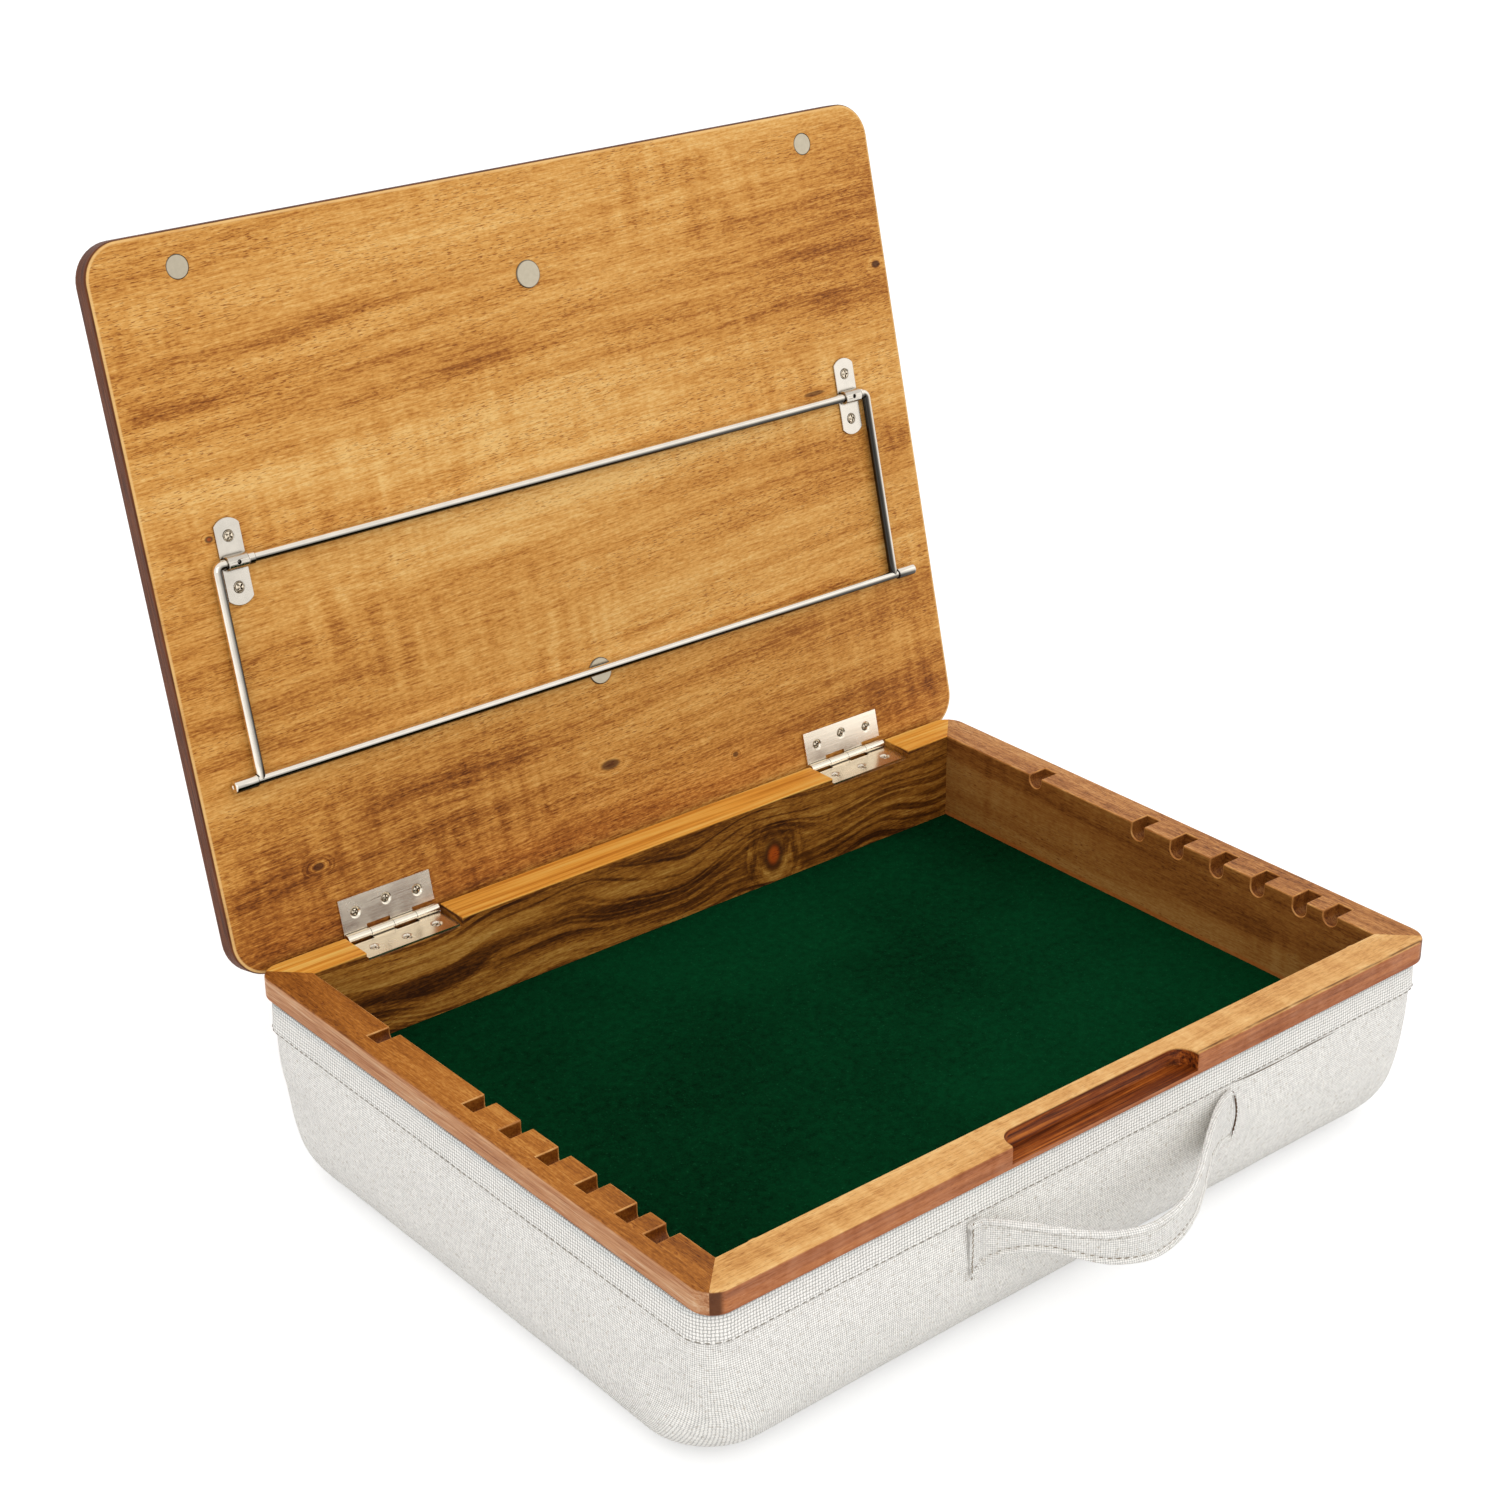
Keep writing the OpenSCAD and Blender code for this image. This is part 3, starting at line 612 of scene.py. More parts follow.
def stitches(name, spots, material, radius):
    """Thread stitches: each spot is (middle, direction, outward, length)."""
    points, faces = [], []
    sides, rows = 6, 5
    for middle, run, out, size in spots:
        run, out = run.normalized(), out.normalized()
        side = run.cross(out)
        faces += skin(rows, sides, len(points))
        for i in range(rows):
            t = i / (rows - 1) * 2 - 1
            lift = (1 - t * t) * radius * 0.7
            thick = radius * (0.45 + 0.55 * math.sqrt(max(0.0, 1 - t * t * 0.98)))
            points += [middle + run * t * size / 2 + out * (lift + math.cos(a) * thick) +
                       side * math.sin(a) * thick for a in circle(sides)]
    return mesh_piece(name, points, faces, material)


def rounded_outline(half_x, half_y, radius, counts):
    """Closed outline of a rounded rectangle with fixed counts: along X, along Y, round a corner."""
    nx, ny, nc = counts
    radius = max(radius, 0.2 * MM)
    ix, iy = half_x - radius, half_y - radius
    corners = [(ix, iy, 0), (-ix, iy, 90), (-ix, -iy, 180), (ix, -iy, 270)]
    runs = [((ix, half_y), (-ix, half_y), nx), ((-half_x, iy), (-half_x, -iy), ny),
            ((-ix, -half_y), (ix, -half_y), nx), ((half_x, -iy), (half_x, iy), ny)]
    out = []
    for (cx, cy, start), ((ax, ay), (bx, by), n) in zip(corners, runs):
        angles = [math.radians(start + 90 * i / nc) for i in range(nc)]
        out += [(cx + radius * math.cos(a), cy + radius * math.sin(a)) for a in angles]
        out += [(ax + (bx - ax) * i / n, ay + (by - ay) * i / n) for i in range(n)]
    return out


def quilted_grid(points, start, counts):
    """Fills the ring of points that begins at start with a grid of four-sided faces, and adds its points."""
    nx, ny, nc = counts
    across, deep = nx + nc, ny + nc
    n = 2 * (across + deep)
    ring = [start + (nc // 2 + i) % n for i in range(n)]
    grid = {}
    for i in range(across + 1):
        grid[i, 0] = ring[i]
        grid[i, deep] = ring[2 * across + deep - i]
    for j in range(deep + 1):
        grid[across, j] = ring[across + j]
        grid[0, j] = ring[-j]
    for i in range(1, across):
        for j in range(1, deep):
            u, v = i / across, j / deep
            edge = [points[grid[q]] for q in ((i, 0), (i, deep), (0, j), (across, j))]
            corner = [points[grid[q]] for q in ((0, 0), (across, 0), (0, deep), (across, deep))]
            blend = edge[0] * (1 - v) + edge[1] * v + edge[2] * (1 - u) + edge[3] * u - \
                (corner[0] * (1 - u) + corner[1] * u) * (1 - v) - (corner[2] * (1 - u) + corner[3] * u) * v
            grid[i, j] = len(points)
            points.append(blend)
    return [(grid[i, j], grid[i, j + 1], grid[i + 1, j + 1], grid[i + 1, j])
            for i in range(across) for j in range(deep)]


def foot_inset(z, r):
    return 0.0 if z >= r else r - math.sqrt(max(0.0, r * r - (r - z) ** 2))


def cushion_outline(z, proud, counts, s):
    """The cushion's outline at height z, moved out by proud. Its corners are wider towards the foot."""
    crown = 0.0
    if z > s.front_round:
        crown = s.crown * math.sin(math.pi * (z - s.front_round) / (HEM_TOP - s.front_round))
    half_x = RIM_HALF_W - s.side_inset - foot_inset(z, s.side_round) + crown + proud
    half_y = RIM_HALF_D - s.front_inset - foot_inset(z, s.front_round) + crown + proud
    radius = CUSHION_ROUND + CUSHION_FLARE * (1 - z / HEM_TOP) ** 2 + proud
    return rounded_outline(half_x, half_y, radius, counts)


CLOTH = {"quality": 6, "mass": 0.25, "air_damping": 2.0, "tension_stiffness": 30, "compression_stiffness": 30,
         "shear_stiffness": 8, "bending_stiffness": 4, "use_pressure": True, "vertex_group_mass": "held"}


def inflate(piece, held, pressure, frames, cap):
    """Blows the cloth up with air, gravity off, and keeps each point within cap of its start."""
    group = piece.vertex_groups.new(name="held")
    group.add([i for i, fast in enumerate(held) if fast], 1.0, "REPLACE")
    cloth = piece.modifiers.new("Cloth", "CLOTH")
    for key, value in CLOTH.items():
        setattr(cloth.settings, key, value)
    cloth.settings.uniform_pressure_force = pressure
    cloth.settings.effector_weights.gravity = 0
    cloth.collision_settings.use_collision = False
    cloth.point_cache.frame_start = 1
    cloth.point_cache.frame_end = frames
    scene = bpy.context.scene
    for f in range(1, frames + 1):
        scene.frame_set(f)
    moved = piece.evaluated_get(bpy.context.evaluated_depsgraph_get()).data
    start = np.empty(len(piece.data.vertices) * 3, np.float32)
    end = np.empty_like(start)
    piece.data.vertices.foreach_get("co", start)
    moved.vertices.foreach_get("co", end)
    shift = (end - start).reshape(-1, 3)
    reach = np.linalg.norm(shift, axis=1, keepdims=True)
    shift *= np.minimum(1.0, cap / np.maximum(reach, 1e-9))
    piece.modifiers.remove(cloth)
    scene.frame_set(1)
    piece.vertex_groups.clear()
    piece.data.vertices.foreach_set("co", (start + shift.reshape(-1)).astype(np.float32))
    piece.data.update()


def smooth_subdivided(piece):
    sub = piece.modifiers.new("Fullness", "SUBSURF")
    sub.levels = sub.render_levels = 1
    sub.uv_smooth = "PRESERVE_BOUNDARIES"


# Pieces


class LAPDESK_OT_camera(bpy.types.Operator):
    """Sets the camera that looks at the open desk from its front left corner"""
    bl_idname = "lapdesk.camera"
    bl_label = "Camera"

    def execute(self, context):
        data = bpy.data.cameras.new("Camera")
        camera = bpy.data.objects.new("Camera", data)
        context.scene.collection.objects.link(camera)
        right, down, ahead = Vector(CAMERA_RIGHT), Vector(CAMERA_DOWN), Vector(CAMERA_AHEAD)
        turn = Matrix((right, -down, -ahead)).transposed().to_4x4()
        camera.matrix_world = Matrix.Translation(Vector(CAMERA_EYE)) @ turn
        data.sensor_fit = "HORIZONTAL"
        data.sensor_width = 36.0
        data.lens = CAMERA_LENS
        data.shift_x, data.shift_y = CAMERA_SHIFT
        data.clip_start = 0.01
        context.scene.camera = camera
        return {"FINISHED"}


def outline_reach(x, y, half_x, half_y, radius):
    """How far a place lies outside a rounded rectangle; below zero inside it."""
    beyond = [x.finish.math("MAXIMUM", abs(part) - (half - radius), 0.0)
              for part, half in ((x, half_x), (y, half_y))]
    return x.finish.join(*beyond).length() - radius


def rim_face(x, y):
    """1 on the outer faces of the rails, 0 elsewhere."""
    return outline_reach(x, y, RIM_HALF_W, RIM_HALF_D, RAIL_ROUND).remap(-0.45 * MM, -0.05 * MM)


def front_rail_tones(colour, flat):
    """The front rail's face is redder than its top, with dark end grain at its corners and a dark recess:
    streaky brown grain with painted shade.
    """
    x, y, z = flat.parts()
    face = rim_face(x, y)
    below = z.remap(RIM_TOP - 0.3 * MM, RIM_TOP - 1.2 * MM)
    # Painted shade: every face below the top, the recess among them, is darkened with streaky brown grain.
    deep = flat.noise((16, 620, 620), 3, 0.7).ramp(
        (0.34, srgb(66, 38, 22)), (0.46, srgb(124, 76, 46)), (0.56, srgb(166, 112, 66)),
        (0.68, srgb(208, 150, 92)))
    red = flat.noise((9, 260, 260), 3, 0.7).ramp(
        (0.30, srgb(162, 128, 140)), (0.50, srgb(200, 166, 178)), (0.70, srgb(222, 190, 196)))
    low = z.remap(HEM_TOP + 3.0 * MM, HEM_TOP + 0.5 * MM, 0.0, 0.45)
    outside = (colour * red).mixed(low, srgb(160, 84, 44))
    colour = colour.mixed(below, colour * deep).mixed(face, outside)
    end_grain = abs(x).remap(RIM_HALF_W - 8.0 * MM, RIM_HALF_W - 5.6 * MM, 0.0, 0.86)
    colour = colour.mixed(face * end_grain, srgb(82, 46, 24))
    line = abs(y + (RIM_HALF_D - 0.9 * MM)).remap(0.0, 0.8 * MM, 1.0, 0.0) * x.remap(40 * MM, 60 * MM)
    line = line * flat.noise((60, 300, 300)).remap(0.35, 0.55, 0.2, 0.85) * (1.0 - below)
    return colour.mixed(line, srgb(84, 44, 16))


def side_rail_tones(colour, flat):
    """A side rail's inner wall is dull brown, its notches are dark inside, and its outer face is paler."""
    along, across, z = flat.parts()
    out = abs(across)
    below = z.remap(RIM_TOP - 0.3 * MM, RIM_TOP - 1.0 * MM)
    body = out.remap(WALL_INNER_X + 0.4 * MM, WALL_INNER_X + 1.0 * MM) * \
        out.remap(RIM_HALF_W - 0.6 * MM, RIM_HALF_W - 1.2 * MM)
    wall = below * out.remap(WALL_INNER_X + 0.6 * MM, WALL_INNER_X + 0.2 * MM)
    colour = colour.mixed(wall, colour * srgb(202, 190, 156))
    foot = z.remap(FELT_TOP + 2.2 * MM, FELT_TOP + 0.6 * MM, 0.0, 0.6)
    colour = colour.mixed(wall * foot, srgb(176, 94, 36))
    colour = colour.mixed(below * body, colour * srgb(186, 166, 130))
    grain = flat.noise((12, 300, 300), 3, 0.7) * 0.6 + flat.noise((60, 1500, 1500), 2, 0.7) * 0.4
    streak = grain.ramp((0.34, srgb(140, 84, 50)), (0.44, srgb(182, 124, 84)), (0.54, srgb(208, 156, 114)),
                        (0.66, srgb(230, 194, 158)))
    streak = streak.mixed(z.remap(HEM_TOP + 4.0 * MM, HEM_TOP + 0.5 * MM, 0.0, 0.45), srgb(172, 98, 54))
    return colour.mixed(rim_face(across, along), colour.mixed(0.82, streak))


def back_rail_tones(colour, flat):
    """The top of the back rail is lighter and more orange than its wall."""
    top = flat.parts()[1].remap(RIM_TOP - 0.9 * MM, RIM_TOP - 0.3 * MM, 0.0, 0.9)
    light = flat.noise((7, 300, 300), 3, 0.7).ramp(
        (0.32, srgb(198, 116, 30)), (0.50, srgb(240, 166, 64)), (0.68, srgb(250, 204, 108)))
    return colour.mixed(top, light)


class LAPDESK_OT_rails(bpy.types.Operator):
    """Makes the four mitred rails, the tray's plywood floor and the plugs in the front rail"""
    bl_idname = "lapdesk.rails"
    bl_label = "Mitred rails"

    def execute(self, context):
        timber = context.scene.lap_desk_timber
        marks = (0.20, 0.36, 0.50, 0.66, 0.84)
        brown = list(zip(marks, (srgb(76, 38, 12), srgb(122, 68, 24), tuple(timber.rail), srgb(176, 109, 43),
                                 srgb(204, 142, 70))))
        warm = list(zip(marks, (srgb(116, 68, 30), srgb(166, 106, 54), srgb(194, 134, 74), srgb(212, 158, 98),
                                srgb(230, 184, 126))))
        pale = list(zip(marks, (srgb(170, 110, 54), srgb(206, 148, 82), tuple(timber.pale),
                                srgb(236, 190, 124), srgb(244, 208, 152))))
        dark = [(0.14, srgb(60, 28, 6)), (0.32, srgb(110, 62, 16)), (0.47, srgb(158, 100, 34)),
                (0.62, srgb(188, 134, 58)), (0.80, srgb(212, 166, 90))]
        quarter = Matrix.Rotation(math.radians(90), 4, "Z")
        upright = Matrix.Rotation(math.radians(-90), 4, "X")
        side = {"turn": quarter, "contrast": 0.85, "extra": side_rail_tones, "fuzz": 0.75}
        left = acacia("left_rail acacia", brown, seed=3.1, **side)
        right = acacia("right_rail acacia", warm, seed=8.4, **side)
        front = acacia("front rail acacia", pale, None, 5.2, contrast=0.7, extra=front_rail_tones, pores=0.5,
                       fuzz=0.62)
        back = acacia("back rail acacia", dark, upright, 11.7, contrast=0.75, extra=back_rail_tones, curl=0.2,
                      wave=0.26, fuzz=0.6, knots=[(0.0681, 0.0606, 6.0 * MM, 9.0 * MM, 0.85, 0.95)])
        # The side rails' rounded arrises get a lighter finish: wear, and a painted highlight.
        worn = self.arris_wear_and_highlight()
        for node, finish, edge, keep, edge_wear_and_highlight, slot in (
                ("left_rail", left, timber.edge, self.above_foot, worn, "rail_wood"),
                ("right_rail", right, timber.edge, self.above_foot, worn, "rail_wood"),
                ("front_rail", front, timber.edge, self.clear_of_discs, None, "front_rail_wood"),
                ("back_rail", back, timber.edge * 0.6, self.clear_of_screws, None, "rail_wood")):
            piece = softened(node, node + "_timber", finish, edge, keep, worn=edge_wear_and_highlight)
            hand_over(piece, "case", slot, node)
        dress("keeper_plugs", front)
        dress("tray_floor", acacia("plywood", warm, None, 20.0, contrast=0.5))
        return {"FINISHED"}

    @staticmethod
    def arris_wear_and_highlight():
        """Rubbed edges, a little lighter and more golden than the rail: wear, with a painted highlight along
        the arrises.
        """
        f = Finish("arris wear and highlight")
        place = f.place()
        colour = place.noise(70, 4, 0.7).ramp(
            (0.34, srgb(158, 96, 44)), (0.52, srgb(196, 132, 68)), (0.68, srgb(226, 172, 104)))
        return f.done(colour, 0.45, place.noise(900).bump(0.1 * MM, 0.4), Specular_IOR_Level=0.2)

    @staticmethod
    def above_foot(p):
        return p.z > HEM_TOP + 1 * MM

    @staticmethod
    def clear_of_discs(p):
        near_disc = abs(abs(p.x) - DISC_X) < DISC_CLEAR and abs(p.y - DISC_Y) < DISC_CLEAR
        return p.z > HEM_TOP + 1 * MM and not near_disc

    @staticmethod
    def clear_of_screws(p):
        return p.z > PIN.z - SCREW_CLEAR


class LAPDESK_OT_lining(bpy.types.Operator):
    """Lays the felt in the tray"""
    bl_idname = "lapdesk.lining"
    bl_label = "Felt lining"

    def execute(self, context):
        low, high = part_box("felt_liner")
        nx, ny = 120, 90
        points = []
        for upper, z in ((False, low.z), (True, high.z)):
            for j in range(ny + 1):
                for i in range(nx + 1):
                    x = low.x + (high.x - low.x) * i / nx
                    y = low.y + (high.y - low.y) * j / ny
                    lift = 0.0
                    if upper:
                        edge = min(x - low.x, high.x - x, y - low.y, high.y - y)
                        lift = 0.22 * MM * noise.noise(Vector((x * 22, y * 22, 4.0)))
                        lift -= 0.35 * MM * math.exp(-edge / (1.2 * MM))
                    points.append((x, y, z + lift))
        n = (nx + 1) * (ny + 1)
        faces = grid_faces(nx, ny, 0) + grid_faces(nx, ny, n) + \
            walls(grid_border(nx, ny, 0), grid_border(nx, ny, n))
        piece = mesh_piece("felt_lining", points, faces, self.felt(tuple(context.scene.lap_desk_finish.felt)))
        piece.data.set_sharp_from_angle(angle=math.radians(50))
        hand_over(piece, "case", "green_felt", "felt_liner")
        return {"FINISHED"}

    @staticmethod
    def felt(green):
        """Green felt: cloudy, clumped and fuzzy, with a little lint."""
        f = Finish("green felt")
        place = f.place()
        fuzz = place.noise(1500, 2, 0.7)
        clumps = place.noise(260, 3, 0.65)
        cloud = place.noise(9, 3, 0.55)
        grey = cloud.remap(0.3, 0.7, 0.72, 1.22) + (clumps - 0.5) * 1.4 + (fuzz - 0.5) * 1.3
        lint = place.noise(900, 0).remap(0.76, 0.80, 0.0, 0.2)
        colour = (grey * green).mixed(lint, srgb(40, 110, 70))
        return f.done(colour, 1.0, (fuzz + clumps).bump(0.4 * MM, 0.7), Specular_IOR_Level=0.02,
                      Sheen_Weight=0.03, Sheen_Roughness=0.5, Sheen_Tint=srgb(40, 130, 80))


class LAPDESK_OT_cushion(bpy.types.Operator):
    """Lofts the cushion's canvas cover, blows it up as cloth and puckers it under the hem"""
    bl_idname = "lapdesk.cushion"
    bl_label = "Cushion"

    def execute(self, context):
        s = context.scene.lap_desk_cushion
        counts = (66, 48, 10)
        top = HEM_TOP - 0.15 * MM
        low = FLOOR_LOW - 0.2 * MM
        pocket = rounded_outline(WALL_HALF_W, WALL_HALF_D, 3 * MM, counts)
        wall = [top - 0.6 * MM - (top - s.front_round) * i / 11 for i in range(11)]
        foot = [s.front_round * (1 - math.sin(math.pi / 2 * i / 9)) for i in range(10)]
        levels = [(pocket, low), (pocket, (low + top) / 2), (pocket, top),
                  (cushion_outline(top, -1.2 * MM, counts, s), top)]
        levels += [(cushion_outline(z, 0.0, counts, s), z) for z in wall + foot]
        n = len(pocket)
        points = [Vector((x, y, z)) for outline, z in levels for x, y in outline]
        free = [HEM_LOW + 2 * MM > z > 0.5 * MM and k > 3 for k, (_, z) in enumerate(levels)]
        held = [not loose for loose in free for _ in range(n)]
        belt = levels[10][0]
        around = walked(belt + belt[:1])
        down = walked([(*outline[counts[2] + 5], z) for outline, z in levels])
        faces, uvs = woven(len(levels), n, lambda level, i: (around[i], -down[level]))
        for start in (0, (len(levels) - 1) * n):
            panel = quilted_grid(points, start, counts)
            faces += panel
            uvs += [(points[q].x, points[q].y) for face in panel for q in face]
        held += [True] * (len(points) - len(held))
        canvas = linen("washed canvas", context.scene.lap_desk_finish.canvas, s.thread, gaps=0.42)
        piece = mesh_piece("cushion_canvas", points, faces, canvas, uvs)
        inflate(piece, held, s.pressure, 20, s.swell)
        self.pucker(piece, [v for v, fast in enumerate(held) if not fast])
        smooth_subdivided(piece)
        hand_over(piece, "case", "cotton_canvas", "cushion_cover", "cushion_filling")
        return {"FINISHED"}

    @staticmethod
    def pucker(piece, loose):
        """Small uneven swells on the walls, and short tucks just under the hem."""
        for i in loose:
            v = piece.data.vertices[i]
            out = Vector(((v.co.x / RIM_HALF_W) ** 7, (v.co.y / RIM_HALF_D) ** 7, 0)).normalized()
            fade = min(1.0, v.co.z / (12 * MM)) * min(1.0, max(0.0, (HEM_TOP - v.co.z) / (16 * MM)))
            swell = 0.45 * MM * noise.noise(v.co * 26)
            swell += 0.22 * MM * noise.noise(v.co * 60 + Vector((3, 1, 2)))
            tuck = math.exp(-max(0.0, HEM_LOW - v.co.z) / (7 * MM))
            swell -= 0.30 * MM * tuck * (0.5 + noise.noise(Vector((v.co.x * 130, v.co.y * 130, 9))))
            v.co += out * swell * fade
        piece.data.update()


class LAPDESK_OT_hem(bpy.types.Operator):
    """Makes the woven hem band round the top of the cushion, its stitches and a painted shadow line along the
    fold under it
    """
    bl_idname = "lapdesk.hem"
    bl_label = "Hem band"
    # How far the band stands proud in millimetres, and the share of its height, round its section
    section = [(0.05, 0.0), (0.55, 0.0), (0.95, 0.03), (1.08, 0.09), (1.0, 0.2), (0.92, 0.35), (0.9, 0.55),
               (0.92, 0.75), (0.9, 0.9), (0.7, 0.985), (0.4, 1.0), (0.05, 1.0), (0.02, 0.5)]

    def execute(self, context):
        s = context.scene.lap_desk_cushion
        finish = context.scene.lap_desk_finish
        top = HEM_TOP - 0.1 * MM
        tall = top - HEM_LOW
        counts = (200, 150, 14)
        outlines = [cushion_outline(HEM_LOW + tall * up, proud * MM, counts, s) for proud, up in self.section]
        n = len(outlines[0])
        around = walked(outlines[5] + outlines[5][:1])
        heights = walked([(proud * MM, up * tall) for proud, up in self.section + self.section[:1]])
        points = []
        for i in range(n):
            for outline, (proud, up) in zip(outlines, self.section):
                x, y = outline[i]
                here = Vector((x, y, HEM_LOW + tall * up))
                if proud > 0.3:
                    out = Vector(((x / RIM_HALF_W) ** 9, (y / RIM_HALF_D) ** 9, 0)).normalized()
                    corner = min(abs(x) / RIM_HALF_W, abs(y) / RIM_HALF_D)
                    here += out * 0.16 * MM * noise.noise(here * 90)
                    if corner > 0.9:
                        ripple = math.sin(around[i] * 2 * math.pi / (3.4 * MM))
                        here += out * 0.30 * MM * ripple * (1 - up) * (corner - 0.9) / 0.1
                here.z += (1 - up) * 0.30 * MM * noise.noise(Vector((x * 45, y * 45, 2)))
                points.append(here)
        faces, uvs = woven(n, len(self.section), lambda i, j: (around[i], heights[j]), closed=True)

        def under_the_wood(tint):
            shade = tint.finish.place().parts()[2].remap(top - 4.5 * MM, top, 0.0, 0.65)
            return tint.mixed(shade, tint * srgb(214, 222, 226))

        weave = linen("hem weave", finish.canvas, s.hem_thread, 0.45, 0.44, under_the_wood, 0.4 * MM)
        piece = mesh_piece("hem_tape", points, faces, weave, uvs)
        rows = stitches("hem_stitches", self.stitch_spots(s, finish),
                        linen("hem thread", srgb(168, 160, 148), 0.5 * MM, 0.5), 0.22 * MM)
        crease_shadow = self.crease_shadow(s)
        hand_over(piece, "case", "hem_weave", "hem_band")
        hand_over(rows, "case", "hem_weave")
        hand_over(crease_shadow, "case", "hem_weave")
        return {"FINISHED"}

    @staticmethod
    def stitch_spots(s, finish):
        """A row of slightly uneven stitches along the band's foot."""
        rng = random.Random(finish.seed)
        row = cushion_outline(HEM_LOW + 0.9 * MM, 1.02 * MM, (400, 300, 30), s)
        row.append(row[0])
        marks = walked(row)
        count = int(marks[-1] / (finish.stitch + 1.1 * MM))
        spots = []
        for k in range(count):
            goal = (k + 0.5) * marks[-1] / count
            at = bisect_right(marks, goal) - 1
            a, b = Vector((*row[at], 0)), Vector((*row[at + 1], 0))
            run = (b - a).normalized()
            middle = a + run * (goal - marks[at])
            out = Vector((run.y, -run.x, 0))
            if out.dot(middle) < 0:
                out = -out
            middle.z = HEM_LOW + 1.0 * MM + rng.uniform(-0.12, 0.12) * MM
            run = (run + Vector((0, 0, rng.uniform(-0.05, 0.05)))).normalized()
            spots.append((middle, run, out, finish.stitch * rng.uniform(0.92, 1.05)))
        return spots

    @staticmethod
    def crease_shadow(s):
        """A grey-brown rod where the cover folds in under the hem, right of the strap: a painted shadow line.
        """
        path = []
        for k in range(61):
            t = k / 60
            x = (74 + 88 * t) * MM
            y = -(RIM_HALF_D - s.front_inset + 0.42 * MM + 0.25 * MM * math.sin(5 * t))
            z = HEM_LOW - 0.5 * MM - 0.9 * MM * math.sin(math.pi * t) - 0.3 * MM * math.sin(9 * t)
            path.append((x, y, z))
        # Painted shadow: the darker thread tone stands for the shade in the fold.
        thread = linen("crease_shadow", srgb(142, 129, 113), 0.6 * MM, 0.8, 0.4)
        return swept_rod("hem_crease", path, 0.34 * MM, thread, 10, 0.3 * MM)


def strap_out(x, s):
    """How far the strap bows out at x."""
    left, right = -s.span / 2 + 7 * MM, s.span / 2 - 2.5 * MM
    if x <= left or x >= right:
        return 0.0
    if x < s.peak:
        return s.bow * math.sin(math.pi / 2 * (x - left) / (s.peak - left)) ** 1.15
    return s.bow * math.sin(math.pi / 2 * (right - x) / (right - s.peak)) ** 1.45


def strap_at(x, s):
    """The strap's middle at x, the way it runs, the way its face looks, and its share of the whole bow."""
    d = 0.4 * MM
    slope = (strap_out(x + d, s) - strap_out(x - d, s)) / (2 * d)
    share = strap_out(x, s) / s.bow
    middle = Vector((x, STRAP_FACE_Y - strap_out(x, s), strap_height(s) - s.sag * share))
    return middle, Vector((1, -slope, 0)).normalized(), Vector((-slope, -1, 0)).normalized(), share


def strap_height(s):
    return HEM_LOW - 1 * MM - s.width / 2


# The strap's two edges: places along it in millimetres, and how far up or down each edge lies there, in
# shares of its half width
EDGE_AT = (-71.5, -66, -61, -54, -45, -38, -27, -12, 2.5, 30, 50, 62, 71.5)
EDGE_TOP = (1.0, 1.0, 0.98, 0.97, 0.90, 0.82, 0.73, 0.76, 0.74, 0.74, 0.78, 0.90, 1.0)
EDGE_FOOT = (-1.0, -0.84, -0.48, -0.12, 0.0, -0.15, -0.43, -0.55, -0.62, -0.66, -0.74, -0.90, -1.0)


def strap_edges(x, s):
    """How far the strap's two edges lie above and below its middle, and how much thicker it is where it is
    folded. Its lower edge folds up beyond the left seam."""
    spots = x / MM + np.linspace(-3.5, 3.5, 7)
    top, foot = (float(np.interp(spots, EDGE_AT, edge).mean()) * s.width / 2
                 for edge in (EDGE_TOP, EDGE_FOOT))
    return top, foot, 1.0 + 0.5 * (1 - (top - foot) / s.width)


